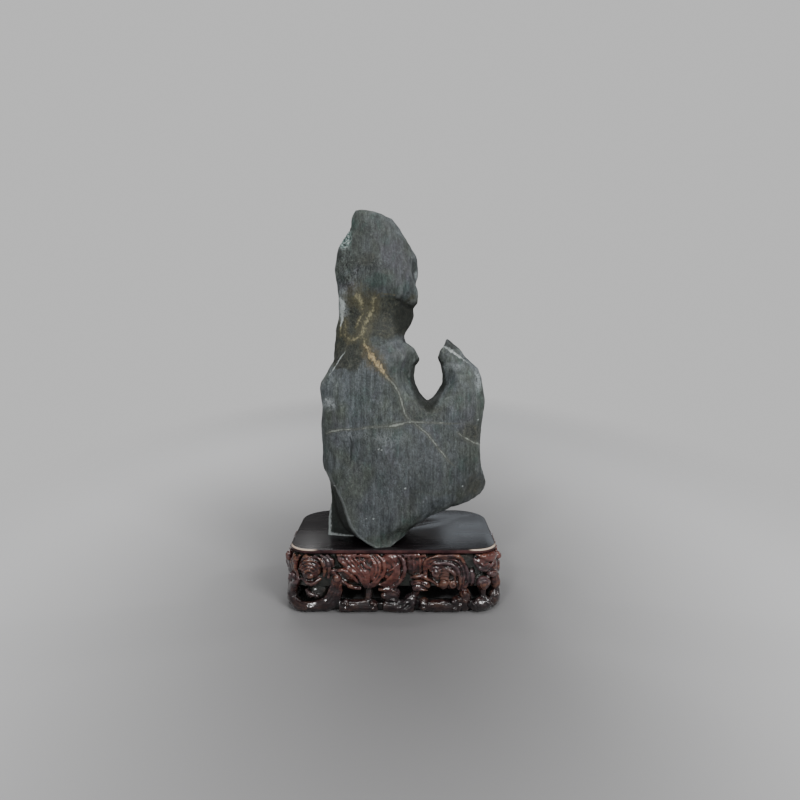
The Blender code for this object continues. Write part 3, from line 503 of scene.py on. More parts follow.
class Marker:
    """Writes the stone's veins, chips, shades and tints on its mesh, for the material to read."""

    def __init__(self, mesh):
        points = get_points(mesh)
        self.mesh = mesh
        self.x = points[:, 0].copy()
        self.z = points[:, 2] - STAND_HEIGHT
        self.drift = sampled(points, (9, 7, 9))
        self.wobble = sampled(points, (3, 3, 3), (0, 4, 0))
        self.shake = sampled(points, (1.4, 1.4, 1.4), (0, 8, 0))
        self.back = smooth_step(points[:, 1], -20, 5)

    def write(self, name, values):
        """One number for each vertex."""
        set_attribute(self.mesh, name, values)

    def shaken(self, share):
        """The places moved a little, so that a line drawn there is uneven."""
        return self.x + share * self.wobble, self.z + share * self.wobble

    def veins(self):
        """How near the veins are, and where they are golden."""
        gold = smooth_step(self.z, GOLD_LOW, GOLD_HIGH)
        ragged = 0.4 + 0.9 * gold
        x = self.x + 6 * self.back * self.drift + ragged * (self.wobble + 0.7 * self.shake)
        z = self.z - 6 * self.back * self.drift + ragged * (self.wobble - 0.7 * self.shake)
        lines = (MAIN_VEIN, LOOP_VEIN, LEVEL_VEIN, RIGHT_VEIN, UPPER_THREAD, NECK_BLOB, NECK_LINE, SIDE_LINE)
        self.write("vein", nearest_mark(x, z, lines))
        self.write("gold", gold)
        self.write("core", gold * (1 - smooth_step(self.z + 5 * self.drift, CORE_LOW, CORE_HIGH)))

    def whites(self):
        """How near the white lines, the painted highlight on the left shoulder, the flank's white rim and
        the chips are.
        """
        hidden = HIDDEN * self.back
        white = nearest_mark(*self.shaken(0.5), (QUARTZ_LINE, SHOULDER_HIGHLIGHT_LINE, NECK_PATCH), hidden)
        white = np.minimum(white, nearest_mark(*self.shaken(0.5), (FLANK_RIM,)))
        for a, b, size in CHIPS:
            away = np.hypot(self.x - a + 1.1 * self.wobble, 1.3 * (self.z - b) + 1.6 * self.drift)
            white = np.minimum(white, away / size + hidden)
        self.write("white", white)
        return white

    def cracks(self):
        """How near the dark cracks are."""
        lines = (DARK_CRACK, FINE_CRACK, FLAKE_EDGE)
        self.write("crack", nearest_mark(self.x + 0.6 * self.wobble, self.z, lines, HIDDEN * self.back))

    def browns(self):
        """The brown neck and the brown patches."""
        foot = np.interp(self.x, NECK_FOOT_X, NECK_FOOT) + 3 * self.drift
        low, high = (height + 8 * self.drift for height in NECK_TOP)
        neck = smooth_step(self.z - foot, -1.2, 1.6) * (1 - smooth_step(self.z, low, high))
        spots = patchy(BROWN_SPOTS, self.x + 4 * self.drift, self.z + 5 * self.drift, 0.2)
        self.write("brown", np.maximum(neck, spots))

    def shades(self, white):
        """Painted shade by the neck, in the flake's pocket and along the notch's rim, a dark patch at the
        tip, and the dark flank, partly its dark broken face and partly painted shade.
        """
        # Painted shadow right of the neck, under the head's overhang
        shade = within(self.x + 4 * self.drift, self.z + 4 * self.drift, NECK_SHADE, 0.5, 1.1)
        for oval, full, gone in ((TIP_SHADE, 0.6, 1.0), (FLAKE_SHADE, 0.5, 1.1)):
            spot = within(*self.shaken(1), oval, full, gone)
            shade = np.maximum(shade, 0.7 * spot * (1 - self.back))
        # Painted shade along the notch's rim
        away, width = distance_to_line(*self.shaken(1), NOTCH_RIM)
        shade = np.maximum(shade, 1 - smooth_step(away / width, 0.6, 1.3))
        # The lower-left flank: its dark broken face, darkened further by painted shade
        edge_x = np.interp(self.z, FLANK_EDGE_HEIGHTS, FLANK_EDGE_X)
        flank = smooth_step(edge_x - self.x + self.wobble, 0, 2.5) * (1 - smooth_step(self.z, 40, 62))
        flank = flank * (1 - self.back) * smooth_step(white, 0.7, 1.6)
        self.write("shade", np.maximum(shade, 0.86 * flank))

    def tints(self):
        """Soft patches of other tones, some cloudy ones painted highlights, and how far each point stands
        out.
        """
        x = self.x + 5 * self.drift + self.wobble
        z = self.z + 6 * self.drift - self.wobble
        for name, spots in (("teal", TEAL_SPOTS), ("violet", VIOLET_SPOTS), ("crinkled", CRINKLED_SPOTS)):
            self.write(name, patchy(spots, x, z, 0.2))
        cloudy_and_highlight = patchy(CLOUDY_AND_HIGHLIGHT_SPOTS, self.x + 2 * self.drift + self.wobble, self.z + 3 * self.drift, 0.1)
        self.write("cloudy_and_highlight", cloudy_and_highlight * (1 - self.back))
        self.write("tone", np.interp(self.z + 6 * self.drift, TONE_HEIGHTS, TONE_SHARES))
        crystal = within(self.x + self.wobble, self.z + 1.5 * self.drift, CRYSTAL_HOLLOW, 0.5, 1.05)
        self.write("crystal", crystal)
        self.write("edge", bulge(self.mesh, 10))


def kept_inside(points, node):
    """The points with their spread in X and Y no wider than the solid's own box."""
    for axis in (0, 1):
        low, high = (corner[axis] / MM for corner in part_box(node))
        middle = 0.5 * (low + high)
        widest = np.abs(points[:, axis] - middle).max()
        share = min(1.0, 0.5 * (high - low) / widest)
        points[:, axis] = middle + share * (points[:, axis] - middle)
    points[:, 2] = np.minimum(points[:, 2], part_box(node)[1][2] / MM)
    return points


def build_stone(finish):
    """The stone: slab, skin, shaping, grain and marks."""
    mesh = remeshed(prism(OUTLINE, -SLAB_HALF, SLAB_HALF, "Y"), ROCK_VOXEL, 8)
    points = stone_surface(get_points(mesh))
    points[:, 1] -= BOARD_DEPTH / 2
    points[:, 2] += STAND_HEIGHT
    set_points(mesh, points)
    points = lumps(points, get_normals(mesh))
    points[:, 2] = np.maximum(points[:, 2], STAND_HEIGHT + FOOT_LEVEL)
    set_points(mesh, kept_inside(points, "rock"))
    marker = Marker(mesh)
    marker.veins()
    marker.shades(marker.whites())
    marker.cracks()
    marker.browns()
    marker.tints()
    shade_smooth(mesh)
    stone = add_object("stone", mesh, finish)
    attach(stone, "root")
    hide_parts("rock")
    return stone


# The stand's plan and its board

def plan(offset, step):
    """The stand's rounded plan, grown by offset, anticlockwise from the middle of the front."""
    half_x, half_y = BOARD_WIDTH / 2 + offset, BOARD_DEPTH / 2 + offset
    front, back = CORNER_FRONT + offset, CORNER_BACK + offset
    corners = [(half_x - front, -half_y + front, front, -90), (half_x - back, half_y - back, back, 0),
               (-half_x + back, half_y - back, back, 90), (-half_x + front, -half_y + front, front, 180)]
    points = [(0.0, -half_y)]
    for cx, cy, radius, start in corners:
        turns = max(3, round(radius * math.pi / 2 / step))
        for index in range(turns + 1):
            angle = math.radians(start + 90 * index / turns)
            points.append((cx + radius * math.cos(angle), cy + radius * math.sin(angle)))
    return points


def foot_cutter(stone):
    """The stone's foot, a little swollen, to cut the seat with."""
    bm = bmesh.new()
    bm.from_mesh(stone.data)
    cut = (0, 0, (STAND_HEIGHT + FOOT_CUT_HEIGHT) * MM)
    geometry = bm.verts[:] + bm.edges[:] + bm.faces[:]
    bmesh.ops.bisect_plane(bm, geom=geometry, plane_co=cut, plane_no=(0, 0, 1), clear_outer=True)
    rim = [edge for edge in bm.edges if edge.is_boundary]
    bmesh.ops.holes_fill(bm, edges=rim)
    bmesh.ops.triangulate(bm, faces=bm.faces)
    mesh = bpy.data.meshes.new("foot")
    bm.to_mesh(mesh)
    bm.free()
    set_points(mesh, get_points(mesh) + SEAT_CLEARANCE * get_normals(mesh))
    return add_object("seat_cutter", mesh)


def build_board(stone, finish):
    """The top board, rounded at its edge, with the seat cut to the stone's foot."""
    board = add_object("top_board", prism(plan(0, 1.2), STAND_HEIGHT - BOARD_THICKNESS, STAND_HEIGHT, "Z"))
    edge = board.modifiers.new("rounded_edge", "BEVEL")
    edge.width = BOARD_EDGE_RADIUS * MM
    edge.segments = 5
    edge.limit_method = "ANGLE"
    edge.angle_limit = math.radians(50)
    cutter = foot_cutter(stone)
    seat = board.modifiers.new("seat", "BOOLEAN")
    seat.operation = "DIFFERENCE"
    seat.solver = "EXACT"
    seat.object = cutter
    mesh = evaluated(board)
    bpy.data.objects.remove(cutter, do_unlink=True)
    board = add_object("top_board", mesh, finish)
    height = get_points(mesh)[:, 2]
    # Mask of the top's rounded edge, for the painted highlight on the front corners
    set_attribute(mesh, "rim", (height < STAND_HEIGHT - 0.05)
                  & (height > STAND_HEIGHT - 0.8 * BOARD_EDGE_RADIUS))
    shade_smooth(mesh)
    mesh.set_sharp_from_angle(angle=math.radians(35))
    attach(board, "root")
    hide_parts("stand_top_board")
    return board


# The carved base

# Where the wood is reddest on a long side, and on the corner leaf also a painted highlight: (along, height),
# half-sizes
FAN_WARMTH = ((-20, 42), (32, 17))
LEAF_WARMTH_AND_HIGHLIGHT = ((87, 48), (16, 8))
PANEL_WARMTH = ((20, 48), (12, 6))
SCROLL_TAN = ((47, 31), (14, 11))

WALK = np.array(plan(CARVING_OVERHANG, 0.5) + plan(CARVING_OVERHANG, 0.5)[:1])
WALK_LENGTH = np.r_[0, np.cumsum(np.hypot(*np.diff(WALK, axis=0).T))]
ROUND = WALK_LENGTH[-1]
RIGHT_END = (BOARD_WIDTH / 2 - CORNER_FRONT + (CORNER_FRONT + CARVING_OVERHANG) * math.pi / 2
             + (BOARD_DEPTH - CORNER_FRONT - CORNER_BACK) / 2)


def along_walk(place):
    """The plan's point at a distance along it from the front's middle."""
    place = np.asarray(place, float) % ROUND
    return [np.interp(place, WALK_LENGTH, WALK[:, axis]) for axis in (0, 1)]


def on_wall(place, height, lift):
    """Points on the stand's side: distance along the plan, height, and lift off the wall."""
    x, y = along_walk(place)
    ahead_x, ahead_y = along_walk(np.asarray(place) + 0.6)
    behind_x, behind_y = along_walk(np.asarray(place) - 0.6)
    run_x, run_y = ahead_x - behind_x, ahead_y - behind_y
    length = np.hypot(run_x, run_y)
    return np.stack([x + run_y / length * lift, y - run_x / length * lift, height + 0 * x], axis=-1)


def curve_through(points):
    """A smooth run of points through the given (along, height, lift) points."""
    given = [np.array(point, float) for point in points]
    given = [2 * given[0] - given[1]] + given + [2 * given[-1] - given[-2]]
    made = []
    for a, b, c, d in zip(given, given[1:], given[2:], given[3:]):
        count = max(2, int(np.linalg.norm(c - b) / STROKE_STEP))
        for index in range(count):
            t = index / count
            made.append(0.5 * (2 * b + (c - a) * t + (2 * a - 5 * b + 4 * c - d) * t ** 2
                               + (3 * b - a - 3 * c + d) * t ** 3))
    made.append(given[-2])
    return np.array(made)


class Carver:
    """Collects the strokes and lumps of the carving, laid out along the stand's sides.

    Each place is (along, height, lift): along the side from its middle, up from the
    table, and out from the carving's general face.
    """

    def __init__(self):
        self.curve = bpy.data.curves.new("carving", "CURVE")
        self.curve.dimensions = "3D"
        self.curve.bevel_depth = MM
        self.curve.bevel_resolution = STROKE_ROUNDNESS
        self.curve.use_fill_caps = True
        self.lumps = []
        self.middle = 0.0
        self.hand = 1

    def turn_to(self, middle, hand):
        """Work on the side with this middle; hand -1 mirrors it."""
        self.middle = middle
        self.hand = hand

    def stroke(self, run, radii):
        """One bead through ready points."""
        spline = self.curve.splines.new("POLY")
        spline.points.add(len(run) - 1)
        places = on_wall(self.middle + self.hand * run[:, 0], run[:, 1], run[:, 2]) * MM
        for point, place, radius in zip(spline.points, places, radii):
            point.co = (*place, 1)
            point.radius = radius

    def bead(self, points, start, middle, end, along=0.0):
        """A smooth stroke through the points, with three radii, moved along the side."""
        run = curve_through([(along + a, height, lift) for a, height, lift in points])
        self.stroke(run, np.interp(np.linspace(0, 1, len(run)), [0, 0.5, 1], [start, middle, end]))

    def lump(self, along, height, lift, half_along, half_height, half_out, tilt=0):
        """A rounded boss, bent to the side that it sits on."""
        bm = bmesh.new()
        bmesh.ops.create_icosphere(bm, subdivisions=LUMP_DETAIL, radius=1.0)
        ball = np.array([vertex.co for vertex in bm.verts])
        a, b = ball[:, 0] * half_along, ball[:, 2] * half_height
        turn = math.radians(tilt)
        a, b = a * math.cos(turn) - b * math.sin(turn), a * math.sin(turn) + b * math.cos(turn)
        places = on_wall(self.middle + self.hand * (along + a), height + b, lift + ball[:, 1] * half_out)
        for vertex, place in zip(bm.verts, places):
            vertex.co = place * MM
        bmesh.ops.recalc_face_normals(bm, faces=bm.faces)
        mesh = bpy.data.meshes.new("lump")
        bm.to_mesh(mesh)
        bm.free()
        self.lumps.append(mesh)

    def whorl(self, along, height, size, turns, start, hand, bead, low, high):
        """A spiral bead that climbs a dome, from lift low at its rim to high at its eye."""
        count = int(turns * 32)
        share = np.linspace(0, 1, count + 1)
        angle = math.radians(start) + hand * share * turns * 2 * math.pi
        radius = size * (1 - 0.88 * share)
        lift = low + (high - low) * np.sqrt(1 - (1 - share) ** 2)
        run = np.c_[along + radius * np.cos(angle), height + radius * np.sin(angle), lift]
        self.stroke(run, bead * (1 - 0.35 * share))

    def ridges(self, one, other, count, radius, lift, crown):
        """Beads side by side from one edge line to the other, crowned in the middle."""
        for share in np.linspace(0, 1, count):
            up = lift + crown * math.sin(math.pi * share)
            points = [(a * (1 - share) + c * share, b * (1 - share) + d * share, up)
                      for (a, b), (c, d) in zip(one, other)]
            self.bead(points, radius, radius * 1.15, radius * 0.8)


def rosette(carver, along, height, size):
    """A domed whorl with a lip under it."""
    carver.lump(along, height, -6.0, size, size, 6.4)
    carver.whorl(along, height, size * 0.95, 1.2, 100, 1, size * 0.115, -3.8, -2.2)
    lip = [(-0.75, -0.8, -3), (-0.16, -1.08, -2), (0.45, -1.02, -1.8), (0.85, -0.7, -3)]
    carver.bead([(along + size * a, height + size * b, lift) for a, b, lift in lip], 1.4, 2.2, 1.4)


def bands(carver):
    """Curved bands that lap round the rosettes, and the corner's outer leaves and knobs."""
    carver.bead([(-70, 51.5, -2.4), (-63.5, 47, -1.4), (-60.5, 40, -1.2), (-61.5, 32, -2.6)], 1.1, 1.9, 1.1)
    carver.bead([(-64, 52, -2.6), (-58.5, 47, -1.6), (-56.2, 39.5, -1.4), (-57.5, 31, -2.8)], 1.1, 1.9, 1.1)
    carver.bead([(-59, 52, -2.6), (-54.4, 47.5, -1.6), (-52.4, 41.5, -2.2)], 1.1, 1.8, 1.0)
    carver.bead([(-84, 51, -2.6), (-88.5, 45, -1.8), (-90, 38, -1.6), (-87, 31, -2.6)], 1.2, 2.0, 1.2)
    carver.bead([(-92, 50, -2.6), (-95.5, 43, -1.6), (-95, 35, -2.0)], 1.4, 2.3, 1.4)
    carver.bead([(-101, 47, -2.6), (-102, 39, -1.8), (-99, 31, -2.6)], 1.6, 2.5, 1.6)
    carver.lump(-101, 46.5, 0.2, 3.2, 4.8, 3.2)
    carver.lump(-95, 30, -1.2, 4.2, 3.6, 3.8)
    carver.lump(-108, 41, -2.4, 5.0, 7.0, 4.4)


def wing(carver):
    """The swept wing of the fan, and the curled leaf under it."""
    carver.ridges([(-49, 53), (-44.5, 46), (-37, 39.5), (-29.5, 33.5), (-24, 22)],
                  [(-35, 53), (-29.5, 48), (-25, 41.5), (-22, 36), (-20.5, 22)], 5, 2.3, -4.4, 1.3)
    carver.bead([(-49.5, 53, -2.4), (-45.5, 46, -1.2), (-37.5, 39, -0.6), (-30, 33, -0.8), (-24.5, 22, -2)],
                1.2, 1.7, 1.2)
    carver.bead([(-47, 52, -3.2), (-34, 52, -2.6), (-21, 51, -3)], 2.2, 2.8, 2.2)
    carver.bead([(-27, 47, -1.2), (-24, 42.5, -0.2), (-20, 40.5, -1)], 1.2, 1.9, 0.9)
    carver.bead([(-52.5, 37.5, -2.4), (-43.5, 38, -1.6), (-35.5, 32.5, -1.6), (-31, 26, -2.8)],
                1.4, 2.0, 1.2)
    carver.bead([(-47, 30, -2.4), (-41.5, 26, -1.4), (-36, 23, -1.2), (-28.5, 21.5, -2.4)], 1.3, 2.0, 1.3)


def leaves(carver, along):
    """The fan's two round leaves, side by side."""
    carver.lump(along - 15, 38.5, -4.4, 7.5, 13.0, 4.2, -8)
    carver.bead([(-15, 53, -2), (-8.2, 45.5, -0.8), (-8.4, 36, -0.6), (-14, 28, -0.8), (-21, 21, -2)],
                1.2, 1.9, 1.2, along)
    carver.lump(along - 1, 38, -5.0, 10.5, 15.5, 4.8, 8)
    carver.lump(along - 2.5, 48.5, -3.4, 7.5, 5.0, 3.6)
    carver.bead([(3.5, 53, -2), (9.4, 45.5, -1), (9.6, 36, -0.8), (4.5, 27, -0.8), (-4, 21.8, -1),
                 (-13, 20.5, -2)], 1.4, 2.1, 1.3, along)


def panel(carver):
    """The plain panel by the scroll, its flutes, and the boss under it."""
    carver.bead([(10, 51.5, -3), (19, 52, -2.4), (29, 51.5, -3)], 2.4, 2.8, 2.2)
    carver.lump(20, 43, -5.6, 11, 11, 3.6)
    carver.bead([(13.9, 53, -1.2), (13.9, 48, -1.8)], 1.4, 1.6, 1.2)
    carver.bead([(15, 31, -3), (25, 32.6, -1.8), (34, 28.6, -1.8), (40, 23.5, -3)], 1.3, 1.9, 1.2)
    carver.lump(24.0, 24.5, -4.2, 9.0, 5.0, 4.2, -8)
    carver.lump(20.5, 22.8, -1.6, 4.6, 3.4, 3.0, 30)


def scroll(carver, along):
    """The cloud scroll: nested arches that end in small volutes, over a ribbed stem."""
    carver.lump(along, 36, -7.4, 17.5, 15, 5.6)
    carver.bead([(-17.5, 33, -2.6), (-19.6, 39.5, -2.0), (-18.2, 46, -1.6), (-13.5, 50, -1.4),
                 (-1, 51.3, -1.2), (10.5, 50.6, -1.4), (15.5, 45, -1.4), (18.5, 36, -1.6),
                 (19, 27, -2), (14, 20, -2.8)], 1.4, 2.0, 1.4, along)
    carver.bead([(-15.5, 40, -1.6), (-11.3, 44.2, -0.8), (-4.3, 45.2, -0.4), (3.2, 44.4, -0.4),
                 (8.8, 40.5, -0.4), (11.4, 34, -0.6), (12.2, 27, -0.8), (11, 20.5, -2)],
                1.4, 2.1, 1.4, along)
    carver.bead([(0.6, 40, -1), (5.2, 37.5, -0.2), (7.4, 32.5, -0.2), (7.6, 28.5, -1)], 1.2, 1.9, 1.1, along)
    carver.whorl(along - 9.6, 36.4, 4.8, 1.5, 160, -1, 1.5, -2.2, 0.4)
    carver.lump(along - 9.6, 36.4, -3.4, 4.6, 4.6, 3.6)
    carver.lump(along - 2.2, 25.2, -3.0, 4.3, 4.6, 4.2)
    carver.lump(along + 6.4, 25.4, -3.0, 4.3, 4.6, 4.2)
    for height in (38.6, 35.8, 33.0, 30.4):
        carver.bead([(-5.6, height, -2), (-1.6, height + 1.1, -1), (2.4, height, -1.6)],
                    1.1, 1.5, 1.1, along)


def corner_leaf(carver):
    """The leaf that laps the right corner, with the knuckles under it."""
    carver.lump(88, 49.5, -1.6, 11, 4.8, 4.2, -6)
    carver.bead([(73, 52.5, -2), (78, 51, -0.2), (87, 47.5, 0.6), (96, 45.5, -0.6)], 1.2, 1.9, 1.1)
    carver.lump(103.5, 46, -0.6, 4.0, 3.6, 4.2)
    carver.lump(79.5, 44, -3.4, 8.5, 6.2, 4.0, -20)
    carver.bead([(71.5, 49, -2.4), (74, 42.5, -1.6), (81, 38, -1.0), (89, 40.5, -1.4), (95, 44, -2.2)],
                1.4, 2.1, 1.3)
    carver.lump(91, 34, -1.6, 6.0, 4.4, 4.6)
    carver.lump(80.5, 26.5, -2.4, 7.4, 6.0, 5.4)
    carver.lump(98, 25, -1.6, 5.2, 10.0, 4.6)
    carver.lump(106, 35, -2.4, 5.6, 9.0, 4.6)
    carver.lump(69.5, 31, -4.4, 3.6, 8.0, 4.0)


def foot_left(carver):
    """The big smooth curl at the left of the foot, its tongue, and the knot beside it."""
    carver.bead([(-86, 30, -4), (-94.5, 21, -2.6), (-97.5, 12.5, -2.2), (-90.5, 5.6, -2.2),
                 (-76, 4.6, -2.2)], 3.4, 5.0, 4.4)
    carver.lump(-67, 15.5, -8.6, 10, 8.5, 4.2, 10)
    carver.bead([(-79, 20, -4), (-73.5, 15.6, -2.4), (-66.5, 14.2, -3)], 1.6, 2.4, 1.5)
    carver.lump(-49.8, 30.4, -2.4, 3.8, 4.8, 3.8, 20)
    carver.lump(-53, 36.4, -2.4, 2.6, 2.6, 2.6)
    carver.ridges([(-84, 7.4), (-68, 8.0), (-58.5, 14), (-54.5, 23), (-52.5, 32)],
                  [(-80, 3.0), (-61, 3.2), (-50.5, 8.5), (-46.5, 19), (-47, 29)], 5, 1.7, -1.9, 1.4)
    carver.bead([(-49.5, 28, -4.6), (-52, 17, -4.4), (-57, 7, -4)], 4.0, 4.2, 4.6)
    carver.bead([(-104, 24, -4), (-108, 14, -3), (-112, 6, -3)], 4.2, 5.0, 5.4)


def foot_middle(carver):
    """The foot's bars and knots under the fan and the panel."""
    carver.bead([(-48, 5.2, -3), (-35, 5.7, -2.6), (-14, 5.2, -3)], 5.0, 5.6, 4.8)
    carver.lump(-42, 7.4, -1.6, 4.2, 4.0, 4.0)
    carver.lump(-17.6, 7.4, -1.8, 4.2, 4.4, 4.0)
    carver.bead([(-22, 23, -6.4), (-21.6, 15, -6.2), (-22, 8, -5)], 3.8, 3.6, 4.2)
    carver.lump(-2, 15.5, -3.6, 7.8, 8.4, 5.4)
    carver.lump(-8, 15.2, -1.6, 2.8, 2.8, 2.8)
    carver.bead([(-9, 4.9, -3), (5, 5.4, -2.4), (18, 5.2, -3)], 4.9, 5.4, 4.9)
    carver.lump(15.5, 10.2, -2.6, 6.2, 6.2, 5.0, 30)
    carver.bead([(22, 22, -4.4), (19.5, 15, -4), (17, 9, -3.8)], 3.4, 3.2, 3.6)


def foot_right(carver):
    """The foot's bars and knots under the scroll and the corner leaf."""
    carver.lump(26.8, 7.2, -2.2, 5.2, 6.0, 4.8)
    carver.bead([(29, 5.1, -3), (42, 5.8, -2.6), (56, 5.2, -3)], 4.9, 5.6, 4.9)
    carver.lump(56, 7.4, -2.8, 5.2, 7.4, 5.0)
    carver.lump(63.6, 11, -3.2, 5.6, 10.5, 5.0)
    carver.lump(79.5, 7.0, -2.0, 12.0, 6.6, 5.4)
    carver.bead([(81, 22, -4), (82, 14, -3.8), (84, 8, -3)], 3.4, 3.0, 3.6)
    carver.lump(98, 9.5, -2.2, 8.5, 8.5, 5.2)
    carver.lump(110, 7.0, -2.8, 7.0, 6.6, 5.0)
    carver.bead([(100, 22, -3), (100, 15, -3), (99, 9, -3)], 4.2, 3.8, 4.2)


def chase_rosette(carver, along, height, size):
    """Stacked arches on the rosette's dome, round an eye near its foot."""
    for share in (0.34, 0.58, 0.82, 1.06, 1.28):
        run = []
        for turn in np.linspace(22, 158, 9):
            a = 0.92 * share * math.cos(math.radians(turn))
            b = share * math.sin(math.radians(turn)) - 0.42
            run.append((along + size * a, height + size * b,
                        6.4 * math.sqrt(max(1 - a * a - b * b, 0.02)) - 5.7))
        carver.bead(run, 0.5, 0.95, 0.5)
    carver.lump(along + 0.1 * size, height - 0.5 * size, -0.6, 0.26 * size, 0.2 * size, 1.6, 30)


def chase_fan(carver, along):
    """The fan's filled ground, with ridges on the wing and in the two round leaves."""
    carver.lump(along - 36.5, 41.5, -6.4, 20, 8.5, 4.6, -48)
    carver.lump(along - 24, 45, -6.6, 11, 10, 4.6)
    carver.lump(along - 19, 39, -6.2, 9, 15, 4.8, -6)
    carver.lump(along + 3, 49, -6.6, 9, 6, 4.6)
    carver.ridges([(-47, 52.5), (-42.5, 45.5), (-35.5, 38.6), (-28.5, 32.5), (-23.3, 22)],
                  [(-33, 52.5), (-28.5, 47.2), (-24.6, 40.6), (-22.2, 35), (-21, 22)], 5, 0.78, -1.4, 1.3)
    carver.lump(along - 41, 31, -7.4, 11, 6.5, 4.4, -30)
    carver.bead([(-44, 34.5, -4.2), (-37.5, 30.5, -3.8), (-31.5, 25.5, -4.4)], 0.8, 1.2, 0.8)
    carver.bead([(-45, 37, -4.4), (-38, 33.5, -4.0), (-32, 28, -4.4)], 0.7, 1.0, 0.7)
    chase_leaves(carver, along)


def chase_leaves(carver, along):
    """Concentric ridges in the two round leaves."""
    carver.bead([(-18, 51, -1.8), (-12.4, 44.5, -0.3), (-12.4, 36, -0.1), (-16.6, 29, -0.5),
                 (-21, 24, -1.8)], 0.6, 0.9, 0.6, along)
    carver.bead([(-19, 48, -1.6), (-15.6, 42.5, -0.1), (-15.6, 35.5, 0.0), (-18.6, 29.5, -1.0)],
                0.5, 0.8, 0.5, along)
    for share in (0.0, 0.2, 0.4, 0.6, 0.8):
        carver.bead([(-1 + 7 * share, 46 - 2 * share, -0.9), (0.4 + 6.4 * share, 38 - 2 * share, 0.0),
                     (-4.5 + 6.5 * share, 30.5 - 3 * share, -0.2),
                     (-13 + 7 * share, 25.2 - 3.6 * share, -1.2)], 0.5, 0.9, 0.5, along)
    carver.bead([(-5.5, 37, 0.0), (-2.2, 39.4, 0.9), (3, 43, 0.2)], 0.6, 1.0, 0.5, along)
    carver.bead([(-6, 52, -1.0), (-1.5, 50, 0.0), (2.5, 46, -0.4)], 0.6, 1.0, 0.5, along)


def chase_scroll(carver, along):
    """The cloud scroll's filled ground, inner arches and flutes."""
    carver.lump(along - 1, 44, -3.9, 15, 6.5, 3.6)
    carver.lump(along + 12.5, 33, -3.9, 5.5, 13, 3.4)
    carver.bead([(-17.2, 36, -2.6), (-17.3, 41, -1.6), (-14.6, 46, -1.3), (-7, 48.4, -1.0), (3, 48.4, -1.0),
                 (10.6, 45.6, -1.0), (14.5, 38.5, -1.1), (16, 29, -1.4), (13.5, 20.6, -2.4)],
                0.8, 1.25, 0.8, along)
    carver.bead([(14.8, 33, -1.0), (15.4, 27.5, -1.0), (13.6, 21, -2.2)], 0.6, 1.0, 0.6, along)
    carver.whorl(along + 6.4, 25.4, 3.3, 1.3, 90, 1, 0.9, -0.2, 1.3)
    carver.bead([(2.2, 30, -0.8), (2.3, 25, -1.4), (2.2, 21, -2.4)], 0.5, 0.6, 0.5, along)
    for height in (37.2, 34.4, 31.7):
        carver.bead([(-5.4, height, -2), (-1.6, height + 1.0, -1.2), (2.2, height, -1.8)],
                    0.5, 0.7, 0.5, along)


